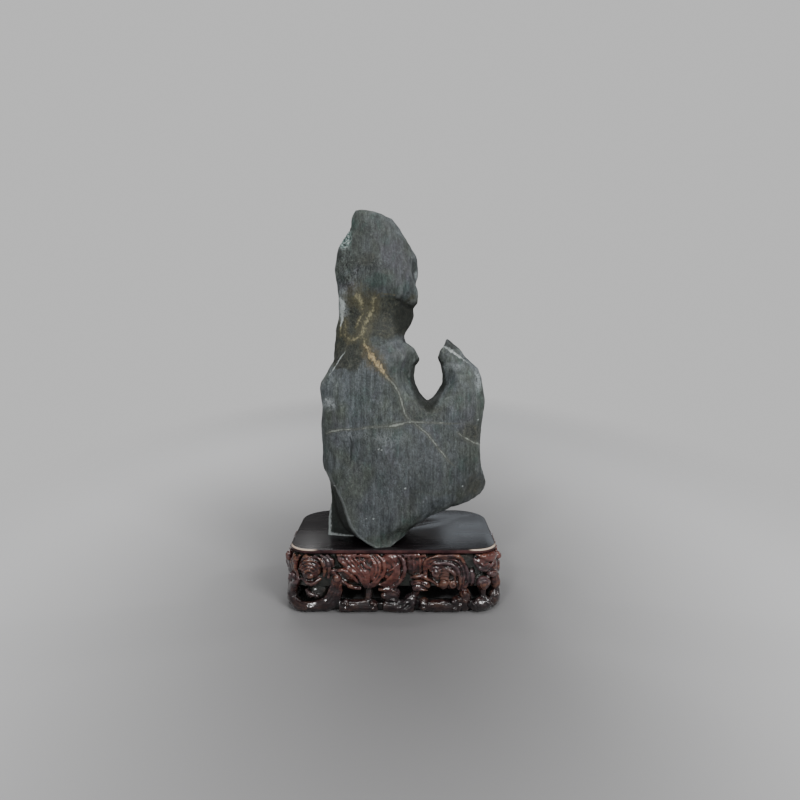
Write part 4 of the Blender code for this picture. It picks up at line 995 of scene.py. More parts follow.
def chase_knots(carver):
    """Small lumps and ridges on the knots of the foot and the corners."""
    carver.bead([(-88, 15, 2.0), (-84.5, 12.2, 2.6), (-80.5, 10.6, 2.2)], 0.6, 1.2, 0.6)
    carver.bead([(-73, 23.4, -4.2), (-70, 26, -3.4), (-66.8, 26.2, -4)], 0.8, 1.4, 0.8)
    for along, height in ((-44.4, 9.2), (-40.6, 8.2), (-42.4, 4.6), (-19, 9.6), (-15.8, 7.6), (-18.2, 4.4)):
        carver.lump(along, height, 1.6, 1.8, 1.7, 1.8)
    carver.bead([(0, 3.6, 1.8), (8, 6.6, 2.6), (16, 12.6, 1.8)], 0.6, 1.2, 0.6)
    carver.bead([(4, 8.4, 1.6), (9.5, 10.6, 1.9), (14, 14.6, 1.2)], 0.5, 1.0, 0.5)
    carver.bead([(6, 2.6, 2.0), (13, 5.2, 2.6), (19, 10, 1.8)], 0.5, 1.0, 0.5)
    carver.bead([(-7, 19.5, -0.4), (-1.5, 21.2, 0.8), (3.6, 18, 0.2)], 0.6, 1.1, 0.6)
    carver.bead([(-5, 11, 0.2), (-0.5, 12.6, 1.6), (3.6, 10.6, 0.8)], 0.6, 1.0, 0.6)
    carver.bead([(17, 26, 0.2), (23, 27.6, 1.4), (31, 24, 0.4)], 0.7, 1.2, 0.7)
    carver.bead([(18, 21.6, -0.2), (24.5, 21.4, 0.9), (31, 20.4, 0)], 0.6, 1.0, 0.6)
    for along, height, lift in ((25, 9.6, 1.8), (28.2, 8.4, 1.8), (26.6, 5.0, 2.0), (53, 10.4, 1.2),
                                (57.6, 12.4, 1.0), (54.6, 4.2, 1.8), (58.8, 6.6, 1.2), (63.5, 18, 0.6)):
        carver.lump(along, height, lift, 2.0, 1.9, 1.9)
    carver.bead([(61, 15, 0.6), (64, 10, 1.4), (66, 4, 0.8)], 0.7, 1.3, 0.7)
    for step in range(4):
        carver.bead([(69, 10.6, 1.6), (72, 7, 2.6), (73, 2.6, 2.0)], 0.5, 0.9, 0.5, 2.6 * step)
    carver.bead([(80.5, 11, 2.0), (84, 8.6, 3.0), (88.5, 7.0, 2.2)], 0.8, 1.5, 0.8)
    carver.whorl(80.5, 26.5, 5.6, 1.6, 40, -1, 1.0, -0.4, 2.4)
    carver.bead([(88, 36.5, 1.6), (91.5, 35.6, 2.6), (95, 33, 1.6)], 0.6, 1.1, 0.6)
    carver.bead([(95.5, 33, 1.2), (97.5, 25, 2.4), (96.5, 16, 1.4)], 0.7, 1.3, 0.7)
    carver.bead([(92, 12.5, 1.4), (97, 13.2, 2.4), (102, 10, 1.8)], 0.7, 1.2, 0.7)
    carver.bead([(82, 52.2, 0.8), (89, 51.4, 2.2), (96, 48.6, 1.4)], 0.6, 1.0, 0.6)
    carver.bead([(75, 46.5, -0.6), (79, 43.4, 0.6), (84, 43.6, 0)], 0.6, 1.1, 0.6)
    carver.bead([(-88, 49, -1.2), (-92.5, 42, -0.2), (-92.5, 34, -0.6)], 0.6, 1.0, 0.6)
    carver.bead([(-106, 46.5, 1.0), (-108.5, 40, 1.8), (-107, 34, 1.2)], 0.7, 1.2, 0.7)
    for along in (17.6, 23.4):
        carver.bead([(along, 50.5, -2.6), (along + 0.4, 43, -2.2), (along, 35.5, -3.4)], 0.7, 1.0, 0.6)


def chase_side(carver):
    """The fine work of a long side."""
    chase_rosette(carver, -74.5, 39.6, 12.2)
    chase_fan(carver, 0)
    chase_scroll(carver, 46.8)
    chase_knots(carver)


def chase_end(carver):
    """The fine work of a short side."""
    chase_scroll(carver, 0)
    chase_leaves(carver, -25)
    chase_rosette(carver, 31, 39, 9.6)
    for along in (-44, -16, 15, 43):
        carver.bead([(along - 2, 21, 0.2), (along + 1.4, 14, 1.4), (along - 1, 6, 0.8)], 0.7, 1.2, 0.7)
    for along in (-22, 8, 39):
        for shift, height in ((-2, 9.4), (1.6, 8.8), (0, 5.0)):
            carver.lump(along + shift, height, 1.2, 1.8, 1.7, 1.8)


def carve_side(carver, middle):
    """A long side: rosette, fan, panel, cloud scroll and corner leaf, over the foot."""
    carver.turn_to(middle, 1)
    rosette(carver, -74.5, 39.6, 12.2)
    bands(carver)
    wing(carver)
    leaves(carver, 0)
    panel(carver)
    scroll(carver, 46.8)
    corner_leaf(carver)
    foot_left(carver)
    foot_middle(carver)
    foot_right(carver)
    chase_side(carver)


def carve_end(carver, middle, hand):
    """A short side: cloud scroll between two leaves and a small rosette, over the foot."""
    carver.turn_to(middle, hand)
    scroll(carver, 0)
    leaves(carver, -25)
    rosette(carver, 31, 39, 9.6)
    carver.lump(22, 28, -3.4, 4.5, 6.5, 4.2)
    carver.lump(41, 30, -3.4, 5.0, 7.0, 4.2)
    carver.lump(-42, 26, -3.2, 5.0, 6.5, 4.4)
    for start, end in ((-44, -18), (-16, 14), (16, 44)):
        middle_of_bar = 0.5 * (start + end)
        carver.bead([(start, 5.1, -3.2), (middle_of_bar, 5.8, -2.6), (end, 5.1, -3.2)], 4.8, 5.6, 4.8)
        carver.lump(middle_of_bar + 9, 7.6, -2.0, 4.0, 4.2, 4.0)
    for along in (-44, -16, 15, 43):
        carver.lump(along, 13.5, -3.6, 4.2, 10.5, 4.6)
    chase_end(carver)


def ring_solid(outer, inner, low, high):
    """A closed ring wall between two offsets of the plan."""
    out_points, in_points = plan(outer, PLAN_STEP), plan(inner, PLAN_STEP)
    count = len(out_points)
    in_points = [in_points[round(index * len(in_points) / count) % len(in_points)] for index in range(count)]
    points = [(*p, low) for p in out_points] + [(*p, high) for p in out_points]
    points += [(*p, low) for p in in_points] + [(*p, high) for p in in_points]
    faces = []
    for index in range(count):
        after = (index + 1) % count
        faces.append((index, after, count + after, count + index))
        faces.append((2 * count + after, 2 * count + index, 3 * count + index, 3 * count + after))
        faces.append((count + index, count + after, 3 * count + after, 3 * count + index))
        faces.append((after, index, 2 * count + index, 2 * count + after))
    return mesh_from("ring", points, faces)


def joined(meshes):
    """Several meshes in one, still overlapping."""
    bm = bmesh.new()
    for mesh in meshes:
        bm.from_mesh(mesh)
    mesh = bpy.data.meshes.new("joined")
    bm.to_mesh(mesh)
    bm.free()
    return mesh


def depth_in_carving(points):
    """How far each point lies behind the carving's outermost face, in millimetres."""
    half_x, half_y = BOARD_WIDTH / 2 + CARVING_OVERHANG, BOARD_DEPTH / 2 + CARVING_OVERHANG
    radius = np.where(points[:, 1] < 0, CORNER_FRONT, CORNER_BACK) + CARVING_OVERHANG
    qx = np.abs(points[:, 0]) - half_x + radius
    qy = np.abs(points[:, 1]) - half_y + radius
    outside = np.hypot(np.maximum(qx, 0), np.maximum(qy, 0)) + np.minimum(np.maximum(qx, qy), 0)
    return radius - outside


def hand_cut(points, normals):
    """The small unevenness that a knife leaves on the carving."""
    broad = CUT_BROAD * sampled(points, (6.5, 6.5, 5))
    fine = CUT_FINE * sampled(points, (2.8, 2.8, 2.4), (4, 0, 0))
    return points + normals * (broad + fine)[:, None]


def build_base(finish):
    """The carved base: wall, deck and foot ring under one skin with all the carving."""
    carver = Carver()
    carve_side(carver, 0.0)
    carve_side(carver, ROUND / 2)
    carve_end(carver, RIGHT_END, 1)
    carve_end(carver, ROUND - RIGHT_END, -1)
    strokes_object = bpy.data.objects.new("strokes", carver.curve)
    bpy.context.collection.objects.link(strokes_object)
    strokes = evaluated(strokes_object)
    outer = CARVING_OVERHANG - WALL_RECESS
    wall = ring_solid(outer, outer - WALL_THICKNESS, APRON_BOTTOM, BASE_TOP + 3)
    foot = ring_solid(outer + 0.5, outer - WALL_THICKNESS + 1, 0.0, 7.0)
    deck = prism(plan(outer - 1, PLAN_STEP), BASE_TOP - DECK_THICKNESS, BASE_TOP + 3, "Z")
    mesh = remeshed(joined([strokes, wall, foot, deck] + carver.lumps), BASE_VOXEL, 1)
    points = get_points(mesh)
    points[:, 2] = np.clip(points[:, 2], 0, BASE_TOP)
    set_points(mesh, points)
    mesh = thinned(mesh, BASE_TRIANGLES)
    points = hand_cut(get_points(mesh), get_normals(mesh))
    points[:, 2] = np.clip(points[:, 2], 0, BASE_TOP)
    set_points(mesh, kept_inside(points, "stand_carved_base"))
    set_attribute(mesh, "edge", bulge(mesh, 8))
    set_attribute(mesh, "deep", depth_in_carving(points))
    facing = points[:, 0] * -np.sign(points[:, 1])
    warmth_and_highlight = [(*FAN_WARMTH, 1.0), (*LEAF_WARMTH_AND_HIGHLIGHT, 0.9), (*PANEL_WARMTH, 0.6)]
    set_attribute(mesh, "warmth_and_highlight", patchy(warmth_and_highlight, facing, points[:, 2], 0.5))
    set_attribute(mesh, "tan", within(facing, points[:, 2], SCROLL_TAN, 0.5, 1.1))
    shade_smooth(mesh)
    base = add_object("carved_base", mesh, finish)
    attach(base, "root")
    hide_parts("stand_carved_base")
    return base


# Materials

# Colours of the stone
SLATE_BLUE = (0.084, 0.096, 0.103)
SLATE_GREEN = (0.074, 0.087, 0.075)
SLATE_VIOLET = (0.090, 0.088, 0.107)
SLATE_TEAL = (0.052, 0.090, 0.080)
SLATE_DARK = (0.040, 0.048, 0.043)
NECK_DARK = (0.019, 0.022, 0.016)
NECK_LIGHT = (0.054, 0.053, 0.035)
NECK_WISP = (0.160, 0.150, 0.105)
CLOUD_AND_HIGHLIGHT_WHITE = (0.400, 0.440, 0.450)
HALO_GREY = (0.112, 0.120, 0.106)
HALO_OLIVE = (0.112, 0.102, 0.056)
HALO_GOLD = (0.155, 0.122, 0.062)
VEIN_BORDER = (0.034, 0.033, 0.024)
VEIN_PALE = (0.330, 0.360, 0.320)
VEIN_GREY = (0.190, 0.208, 0.178)
VEIN_STRAW = (0.310, 0.285, 0.170)
VEIN_OLIVE = (0.105, 0.102, 0.060)
GOLD_BRIGHT = (0.700, 0.560, 0.310)
GOLD_DARK = (0.360, 0.270, 0.130)
QUARTZ_WHITE = (0.52, 0.57, 0.56)
CRYSTAL_DARK = (0.012, 0.022, 0.020)
CRYSTAL_TEAL = (0.130, 0.230, 0.210)
CRYSTAL_WHITE = (0.68, 0.76, 0.74)
CRACK_DARK = (0.012, 0.014, 0.014)
RIDGE_PALE = (0.190, 0.210, 0.210)
HOLLOW_PAINTED_SHADE = (0.016, 0.019, 0.018)
SHADE_DARK = (0.014, 0.016, 0.013)
SPECK_GREY = (0.24, 0.27, 0.26)
PIT_DARK = (0.018, 0.021, 0.020)

# Colours of the stand
WOOD_RED = (0.060, 0.015, 0.012)
WOOD_BROWN = (0.022, 0.010, 0.013)
WORN_RED = (0.175, 0.080, 0.048)
WORN_BROWN = (0.105, 0.058, 0.062)
WOOD_WARM_AND_HIGHLIGHT = (0.172, 0.054, 0.042)
WOOD_TAN = (0.150, 0.070, 0.048)
WOOD_CREASE_SHADE = (0.0060, 0.0030, 0.0026)
WOOD_DEEP_STAIN_AND_SHADE = (0.0150, 0.0190, 0.0150)
WOOD_FOOT_SHADE = (0.022, 0.020, 0.022)
LACQUER_BLACK = (0.006, 0.005, 0.006)
LACQUER_BROWN = (0.016, 0.012, 0.013)
SIDE_RED_WORN_AND_LIT = (0.090, 0.038, 0.038)
SIDE_DARK = (0.030, 0.014, 0.017)
CORNER_HIGHLIGHT_CREAM = (0.70, 0.56, 0.44)


class Shader:
    """A Principled material, the colour built up so far, and short ways to wire its nodes."""

    def __init__(self, name):
        self.colour = None
        self.material = bpy.data.materials.new(name)
        self.material.use_nodes = True
        self.tree = self.material.node_tree
        self.surface = self.tree.nodes["Principled BSDF"]
        place = self.tree.nodes.new("ShaderNodeTexCoord")
        scale = self.tree.nodes.new("ShaderNodeVectorMath")
        scale.operation = "SCALE"
        scale.inputs["Scale"].default_value = 1 / MM
        self.tree.links.new(place.outputs["Object"], scale.inputs[0])
        self.place = scale.outputs[0]

    def link(self, value, socket):
        """Join an output to a socket, or set a plain value on it."""
        if isinstance(value, bpy.types.NodeSocket):
            self.tree.links.new(value, socket)
        else:
            socket.default_value = value

    def math(self, operation, first, second=0.0, clamp=False):
        """One Math node."""
        node = self.tree.nodes.new("ShaderNodeMath")
        node.operation = operation
        node.use_clamp = clamp
        self.link(first, node.inputs[0])
        self.link(second, node.inputs[1])
        return node.outputs[0]

    def plus(self, first, second, clamp=False):
        """The sum of two values."""
        return self.math("ADD", first, second, clamp)

    def times(self, first, second):
        """The product of two values."""
        return self.math("MULTIPLY", first, second)

    def attribute(self, name):
        """A number written on the mesh."""
        node = self.tree.nodes.new("ShaderNodeAttribute")
        node.attribute_name = name
        return node.outputs["Fac"]

    def along(self, axis):
        """The place along X, Y or Z, in millimetres."""
        node = self.tree.nodes.new("ShaderNodeSeparateXYZ")
        self.link(self.place, node.inputs[0])
        return node.outputs[axis]

    def stretched(self, sizes):
        """The place divided by a size in millimetres along each axis."""
        node = self.tree.nodes.new("ShaderNodeVectorMath")
        node.operation = "DIVIDE"
        self.link(self.place, node.inputs[0])
        node.inputs[1].default_value = sizes
        return node.outputs[0]

    def noise(self, sizes, detail=3.0, roughness=0.55, distortion=0.0):
        """Noise whose features have the given sizes in millimetres."""
        node = self.tree.nodes.new("ShaderNodeTexNoise")
        self.link(self.stretched(sizes), node.inputs["Vector"])
        node.inputs["Scale"].default_value = 1.0
        node.inputs["Detail"].default_value = detail
        node.inputs["Roughness"].default_value = roughness
        node.inputs["Distortion"].default_value = distortion
        return node.outputs["Fac"]

    def ramp(self, value, low, high, start=0.0, end=1.0):
        """Smoothly from start at low to end at high."""
        node = self.tree.nodes.new("ShaderNodeMapRange")
        node.interpolation_type = "SMOOTHSTEP"
        self.link(value, node.inputs["Value"])
        for name, number in (("From Min", low), ("From Max", high), ("To Min", start), ("To Max", end)):
            self.link(number, node.inputs[name])
        return node.outputs["Result"]

    def mix(self, share, first, second):
        """Mix two colours."""
        node = self.tree.nodes.new("ShaderNodeMix")
        node.data_type = "RGBA"
        self.link(share, node.inputs["Factor"])
        for socket, colour in ((node.inputs["A"], first), (node.inputs["B"], second)):
            self.link((*colour, 1.0) if isinstance(colour, tuple) else colour, socket)
        return node.outputs["Result"]

    def scaled(self, colour, factor):
        """A colour times a number."""
        node = self.tree.nodes.new("ShaderNodeVectorMath")
        node.operation = "SCALE"
        self.link(colour, node.inputs[0])
        self.link(factor, node.inputs["Scale"])
        return node.outputs[0]

    def lay(self, tone, share):
        """Lay a tone over the colour so far."""
        self.colour = self.mix(share, self.colour, tone)

    def vary(self, value, low, high, start, end):
        """Scale the colour so far, from start where the value is low to end where it is high."""
        self.colour = self.scaled(self.colour, self.ramp(value, low, high, start, end))

    def bump(self, height, strength, distance):
        """Bump from a height in the same units as distance, in metres."""
        node = self.tree.nodes.new("ShaderNodeBump")
        node.inputs["Strength"].default_value = strength
        node.inputs["Distance"].default_value = distance
        self.link(height, node.inputs["Height"])
        self.link(node.outputs["Normal"], self.surface.inputs["Normal"])

    def finish(self, roughness, **fixed):
        """Wire the colour and roughness, and set the fixed inputs."""
        self.link(self.colour, self.surface.inputs["Base Color"])
        self.link(roughness, self.surface.inputs["Roughness"])
        for name, value in fixed.items():
            self.surface.inputs[name.replace("_", " ")].default_value = value
        return self.material


def stone_ground(make, mottle, crinkle, grain):
    """The stone's grey tones, with patches, upright streaks and grain; gives its roughness."""
    patches = make.noise((34, 28, 44), 3, 0.55, 0.8)
    make.colour = make.mix(make.ramp(patches, 0.34, 0.66), SLATE_BLUE, SLATE_GREEN)
    violet = make.ramp(make.noise((17, 15, 30), 3, 0.6, 0.5), 0.50, 0.74, 0.0, 0.6)
    make.lay(SLATE_VIOLET, make.times(make.plus(violet, make.attribute("violet"), True), 0.75))
    teal = make.ramp(make.noise((13, 13, 18), 3, 0.6, 0.8), 0.54, 0.72, 0.0, 0.6)
    make.lay(SLATE_TEAL, make.times(make.plus(teal, make.attribute("teal"), True), 0.75))
    make.lay(SLATE_DARK, make.ramp(make.noise((8, 8, 20), 4, 0.65, 1.0), 0.50, 0.72, 0.0, 0.65))
    make.colour = make.scaled(make.colour, make.attribute("tone"))
    make.vary(mottle, 0.32, 0.68, 0.76, 1.26)
    strokes = make.noise((3.2, 3.2, 55), 2, 0.5, 0.3)
    make.vary(strokes, 0.36, 0.66, 0.82, 1.16)
    make.vary(make.noise((1.6, 1.6, 44), 3, 0.60, 0.3), 0.34, 0.68, 0.80, 1.18)
    crinkled = make.attribute("crinkled")
    deepest = make.ramp(crinkled, 0.0, 1.0, 0.78, 0.22)
    brightest = make.ramp(crinkled, 0.0, 1.0, 1.22, 1.75)
    make.vary(crinkle, 0.38, 0.64, deepest, brightest)
    make.vary(grain, 0.32, 0.70, 0.84, 1.18)
    return make.ramp(make.plus(strokes, make.times(patches, 0.5)), 0.45, 1.0, 0.36, 0.55)


def stone_neck(make, mottle, crinkle):
    """The olive-brown neck with its pale wisps, the brown patches, and the cloudy ones, some of them painted
    highlights.
    """
    neck = make.mix(make.ramp(mottle, 0.42, 0.66), NECK_DARK, NECK_LIGHT)
    neck = make.scaled(neck, make.ramp(crinkle, 0.36, 0.64, 0.45, 1.75))
    wisps = make.ramp(make.noise((7, 7, 1.1), 3, 0.7, 1.4), 0.56, 0.66, 0.0, 0.42)
    make.lay(make.mix(wisps, neck, NECK_WISP), make.times(make.attribute("brown"), 0.80))
    # Cloudy white patches, some of them painted highlights
    broken = make.ramp(crinkle, 0.40, 0.56, 0.08, 1.0)
    make.lay(CLOUD_AND_HIGHLIGHT_WHITE, make.times(make.attribute("cloudy_and_highlight"), broken))


def stone_veins(make):
    """Pale and golden veins with their halos and dark borders, and the white marks."""
    ragged = make.noise((1.5, 1.5, 2.2), 3, 0.75)
    swell = make.noise((5, 5, 7), 2, 0.6)
    gold, core = make.attribute("gold"), make.attribute("core")
    loose = make.plus(make.ramp(ragged, 0.2, 0.8, -1.1, 1.1), make.ramp(swell, 0.3, 0.7, -0.35, 0.65))
    loose = make.times(loose, make.ramp(gold, 0.0, 1.0, 0.45, 1.0))
    vein = make.plus(make.attribute("vein"), loose)
    halo = make.mix(core, make.mix(gold, HALO_GREY, HALO_OLIVE), HALO_GOLD)
    make.lay(halo, make.ramp(vein, 1.0, 5.0, 0.55, 0.0))
    border = make.math("ABSOLUTE", make.math("SUBTRACT", vein, 1.7))
    make.lay(VEIN_BORDER, make.ramp(border, 0.1, 0.5, 0.45, 0.0))
    pale_vein = make.mix(make.ramp(swell, 0.4, 0.6), VEIN_PALE, VEIN_GREY)
    neck_vein = make.mix(make.ramp(vein, -0.2, 0.9), VEIN_STRAW, VEIN_OLIVE)
    gold_vein = make.mix(make.ramp(vein, -0.6, 0.9), GOLD_BRIGHT, GOLD_DARK)
    tone = make.mix(core, make.mix(gold, pale_vein, neck_vein), gold_vein)
    make.lay(tone, make.ramp(vein, 0.20, 1.40, 0.78, 0.0))
    white = make.plus(make.attribute("white"), make.ramp(ragged, 0.2, 0.8, -0.8, 0.8))
    make.lay(QUARTZ_WHITE, make.ramp(white, 0.5, 1.3, 0.80, 0.0))


def stone_marks(make, shade):
    """Crystals, cracks, worn ridges, painted shade in the hollows and from the shade marks, specks and pits;
    gives the pits.
    """
    shards = make.noise((1.6, 1.6, 2.0), 3, 0.8)
    crystals = make.mix(make.ramp(shards, 0.34, 0.52), CRYSTAL_DARK, CRYSTAL_TEAL)
    crystals = make.mix(make.ramp(shards, 0.52, 0.58), crystals, CRYSTAL_WHITE)
    make.lay(crystals, make.times(make.attribute("crystal"), 0.85))
    make.lay(CRACK_DARK, make.ramp(make.attribute("crack"), 0.6, 1.8, 0.8, 0.0))
    edge = make.attribute("edge")
    make.lay(RIDGE_PALE, make.ramp(edge, 0.12, 0.50, 0.0, 0.45))
    # Painted shade in the stone's concave hollows
    make.lay(HOLLOW_PAINTED_SHADE, make.ramp(edge, -0.42, -0.08, 0.70, 0.0))
    # Painted shade from the shade marks: by the neck, the flake's pocket, the notch's rim and the flank
    make.lay(SHADE_DARK, make.times(shade, 0.82))
    make.lay(SPECK_GREY, make.ramp(make.noise((0.95, 0.95, 0.95), 2, 0.8), 0.67, 0.74, 0.0, 0.60))
    pits = make.ramp(make.noise((1.6, 1.6, 2.8), 3, 0.7), 0.28, 0.37, 0.6, 0.0)
    make.lay(PIT_DARK, pits)
    return pits


def stone_material():
    """Blue-grey and green-grey stone with an upright grain, olive neck, ochre and pale veins."""
    make = Shader("veined_stone_surface")
    mottle = make.noise((4.2, 4.2, 7.5), 4, 0.72, 0.9)
    crinkle = make.noise((2.5, 2.5, 3.2), 4, 0.78, 1.6)
    grain = make.noise((1.3, 1.3, 2.2), 2, 0.75)
    shade = make.attribute("shade")
    rough = stone_ground(make, mottle, crinkle, grain)
    stone_neck(make, mottle, crinkle)
    stone_veins(make)
    pits = stone_marks(make, shade)
    height = make.math("SUBTRACT", make.plus(mottle, make.times(grain, 0.6)), make.times(pits, 0.6))
    make.bump(make.plus(height, make.times(crinkle, 0.8)), 0.8, 0.0009)
    return make.finish(make.plus(rough, make.times(shade, 0.45), True), Specular_IOR_Level=0.38)


def wood_material():
    """Deep red-brown lacquered hardwood, worn bright on its ridges, with painted shade in its creases, its
    deep recesses (partly a dark stain) and towards the foot, and a painted highlight on the corner leaf.
    """
    make = Shader("carved_hardwood_surface")
    fibre = make.noise((7, 7, 1.1), 4, 0.6, 0.4)
    tone = make.noise((22, 22, 15), 3, 0.6, 0.5)
    edge, height = make.attribute("edge"), make.along("Z")
    make.colour = make.mix(make.ramp(tone, 0.36, 0.64), WOOD_RED, WOOD_BROWN)
    make.vary(fibre, 0.3, 0.7, 0.60, 1.40)
    worn = make.mix(make.ramp(tone, 0.40, 0.60), WORN_RED, WORN_BROWN)
    make.lay(worn, make.ramp(edge, 0.05, 0.42, 0.0, 0.70))
    # Reddish warmth, which on the corner leaf is also a painted highlight
    make.lay(WOOD_WARM_AND_HIGHLIGHT, make.times(make.attribute("warmth_and_highlight"), 0.60))
    make.lay(WOOD_TAN, make.times(make.attribute("tan"), 0.45))
    make.vary(fibre, 0.3, 0.7, 0.80, 1.20)
    # Painted shade in the carving's creases
    make.lay(WOOD_CREASE_SHADE, make.ramp(edge, -0.34, -0.03, 0.90, 0.0))
    # Deep recesses: a dark greenish stain, with painted shade
    make.lay(WOOD_DEEP_STAIN_AND_SHADE, make.ramp(make.attribute("deep"), 2.8, 7.0, 0.0, 0.94))
    # Painted shade towards the foot, darker the lower the wood
    make.vary(height, 8.0, 30.0, 0.38, 1.0)
    make.lay(WOOD_FOOT_SHADE, make.ramp(height, 6.0, 28.0, 0.30, 0.0))
    make.bump(make.noise((2.6, 2.6, 2.6), 3, 0.6), 0.35, 0.0005)
    rough = make.ramp(tone, 0.3, 0.7, 0.20, 0.30)
    return make.finish(rough, Coat_Weight=1.0, Coat_Roughness=0.14, Coat_IOR=1.55, Specular_IOR_Level=0.3)


def board_material():
    """Near-black lacquer on top, red-brown at the edge, partly worn and partly painted light, a painted
    highlight on the front corners' edge, with faint long grain.
    """
    make = Shader("dark_lacquer_surface")
    fibre = make.noise((60, 1.6, 6), 4, 0.6, 0.2)
    cloud = make.noise((14, 30, 20), 3, 0.6, 0.4)
    make.colour = make.mix(make.ramp(fibre, 0.38, 0.68), LACQUER_BLACK, LACQUER_BROWN)
    # Red-brown edge, partly worn and partly painted light
    side = make.ramp(make.along("Z"), STAND_HEIGHT - 1.2, STAND_HEIGHT - 0.2, 1.0, 0.0)
    make.lay(make.mix(make.ramp(cloud, 0.35, 0.65), SIDE_RED_WORN_AND_LIT, SIDE_DARK), side)
    # Painted highlight on the rounded edge of the front corners
    corner = make.times(make.ramp(make.math("ABSOLUTE", make.along("X")), *HIGHLIGHT_CORNER_X),
                        make.ramp(make.along("Y"), *HIGHLIGHT_CORNER_Y, 1.0, 0.0))
    make.lay(CORNER_HIGHLIGHT_CREAM, make.times(make.times(make.attribute("rim"), corner), 0.9))
    make.bump(fibre, 0.12, 0.0002)
    worn = make.plus(make.noise((70, 50, 20), 2, 0.5), make.times(fibre, 0.25))
    rough = make.ramp(worn, 0.45, 0.9, 0.24, 0.34)
    return make.finish(rough, Coat_Weight=0.06, Coat_Roughness=0.12, Specular_IOR_Level=0.13)


def floor_material():
    """Pale matt floor with a painted shadow round the stand, fading out far from the stand, so that no
    horizon shows.
    """
    make = Shader("pale_floor")
    flat = make.tree.nodes.new("ShaderNodeVectorMath")
    flat.operation = "MULTIPLY"
    make.link(make.place, flat.inputs[0])
    flat.inputs[1].default_value = (1 / FLOOR_SPAN[0], 1 / FLOOR_SPAN[1], 0)
    length = make.tree.nodes.new("ShaderNodeVectorMath")
    length.operation = "LENGTH"
    make.link(flat.outputs[0], length.inputs[0])
    distance = length.outputs["Value"]
    make.link(make.ramp(distance, 0.8, 1.7, 1.0, 0.0), make.surface.inputs["Alpha"])
    # Painted shadow near the stand, fading to the pale floor
    make.colour = make.mix(make.ramp(distance, -0.1, 1.05), FLOOR_PAINTED_SHADOW, FLOOR_FAR)
    return make.finish(0.9, Specular_IOR_Level=0.1)


# Camera, light and floor

CAMERA_PLACE = (0.00594, -0.617, 0.2549)
CAMERA_PITCH = 0.119
CAMERA_LENS = 29.7
BACKDROP = 0.65
ROOM_DIM = 0.08
ROOM_BRIGHT = 0.30
ROOM_BRIGHTEST = (0.45, -0.75, 0.50)
FLOOR_REACH = 9000.0
FLOOR_SPAN = (430.0, 1100.0)
FLOOR_PAINTED_SHADOW = (0.150, 0.148, 0.150)
FLOOR_FAR = (0.66, 0.66, 0.665)


def add_camera():
    """The photograph's view."""
    lens = bpy.data.cameras.new("camera")
    lens.sensor_width = 36.0
    lens.lens = CAMERA_LENS
    lens.clip_start = 0.01
    camera = bpy.data.objects.new("camera", lens)
    camera.location = CAMERA_PLACE
    camera.rotation_euler = (math.pi / 2 - CAMERA_PITCH, 0, 0)
    bpy.context.collection.objects.link(camera)
    bpy.context.scene.camera = camera


def add_area(name, place, target, size, power, colour=(1.0, 1.0, 1.0)):
    """A soft light aimed at a point, unseen itself."""
    light = bpy.data.lights.new(name, "AREA")
    light.shape = "RECTANGLE"
    light.size, light.size_y = size
    light.energy = power
    light.color = colour
    lamp = bpy.data.objects.new(name, light)
    lamp.location = place
    lamp.rotation_euler = (Vector(target) - Vector(place)).to_track_quat("-Z", "Y").to_euler()
    lamp.visible_camera = False
    bpy.context.collection.objects.link(lamp)


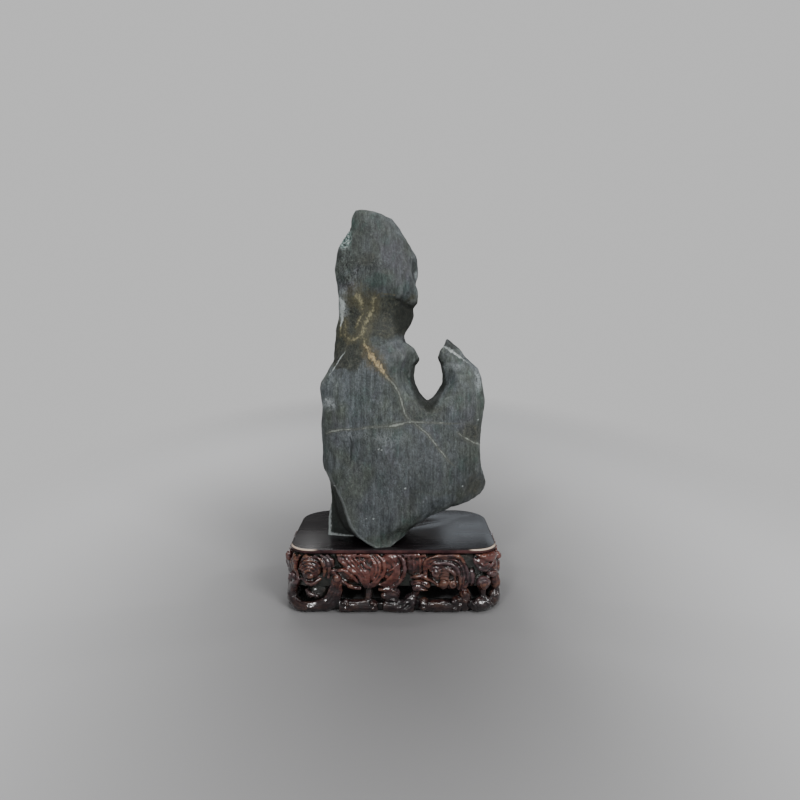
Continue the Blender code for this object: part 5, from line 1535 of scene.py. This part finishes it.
def add_room():
    """An even pale backdrop, and a room that lights most from the front right."""
    world = bpy.data.worlds.new("room")
    bpy.context.scene.world = world
    world.use_nodes = True
    tree = world.node_tree
    place = tree.nodes.new("ShaderNodeTexCoord")
    toward = tree.nodes.new("ShaderNodeVectorMath")
    toward.operation = "DOT_PRODUCT"
    tree.links.new(place.outputs["Generated"], toward.inputs[0])
    toward.inputs[1].default_value = Vector(ROOM_BRIGHTEST).normalized()
    room = tree.nodes.new("ShaderNodeMapRange")
    room.interpolation_type = "SMOOTHSTEP"
    tree.links.new(toward.outputs["Value"], room.inputs["Value"])
    for name, value in (("From Min", -0.7), ("From Max", 0.8), ("To Min", ROOM_DIM),
                        ("To Max", ROOM_BRIGHT)):
        room.inputs[name].default_value = value
    ray = tree.nodes.new("ShaderNodeLightPath")
    seen = tree.nodes.new("ShaderNodeMix")
    tree.links.new(ray.outputs["Is Camera Ray"], seen.inputs["Factor"])
    tree.links.new(room.outputs["Result"], seen.inputs["A"])
    seen.inputs["B"].default_value = BACKDROP
    tree.links.new(seen.outputs["Result"], tree.nodes["Background"].inputs["Strength"])
    tree.nodes["Background"].inputs["Color"].default_value = (1.0, 1.0, 1.0, 1.0)


def add_lights():
    """Soft studio light from the front right, with smaller lamps for the lacquer's highlights."""
    add_area("key", (0.75, -1.05, 0.95), (0.0, 0.0, 0.18), (0.45, 0.45), 12.0)
    add_area("top", (0.10, -0.10, 1.40), (0.0, 0.0, 0.10), (0.5, 0.5), 4.0)
    add_area("fill", (-0.35, -1.10, 0.80), (0.0, 0.0, 0.20), (0.18, 0.18), 5.0)
    add_area("rim_left", (-0.95, 0.30, 0.72), (0.0, -0.03, 0.05), (0.12, 0.12), 1.2)
    add_area("rim_right", (0.98, 0.30, 0.70), (0.0, -0.03, 0.05), (0.12, 0.12), 1.5)
    add_area("back", (-0.35, 0.95, 0.90), (0.0, 0.0, 0.20), (0.5, 0.4), 5.0)
    add_area("sheen", (0.26, 1.45, 0.53), (0.07, 0.0, 0.06), (0.46, 0.24), 0.62, (0.82, 0.91, 1.0))


def add_floor():
    """A wide pale floor, with a painted shadow round the stand."""
    ring = [(-1, -1), (1, -1), (1, 1), (-1, 1)]
    points = [(a * FLOOR_REACH, b * FLOOR_REACH, 0) for a, b in ring]
    floor = add_object("floor", mesh_from("floor", points, [(0, 1, 2, 3)]), floor_material())


def corners(bounds):
    """A box as plain lists of numbers."""
    return [[float(value) for value in corner] for corner in bounds]


add_camera()
add_room()
add_lights()
add_floor()
STONE = build_stone(stone_material())
build_board(STONE, board_material())
build_base(wood_material())
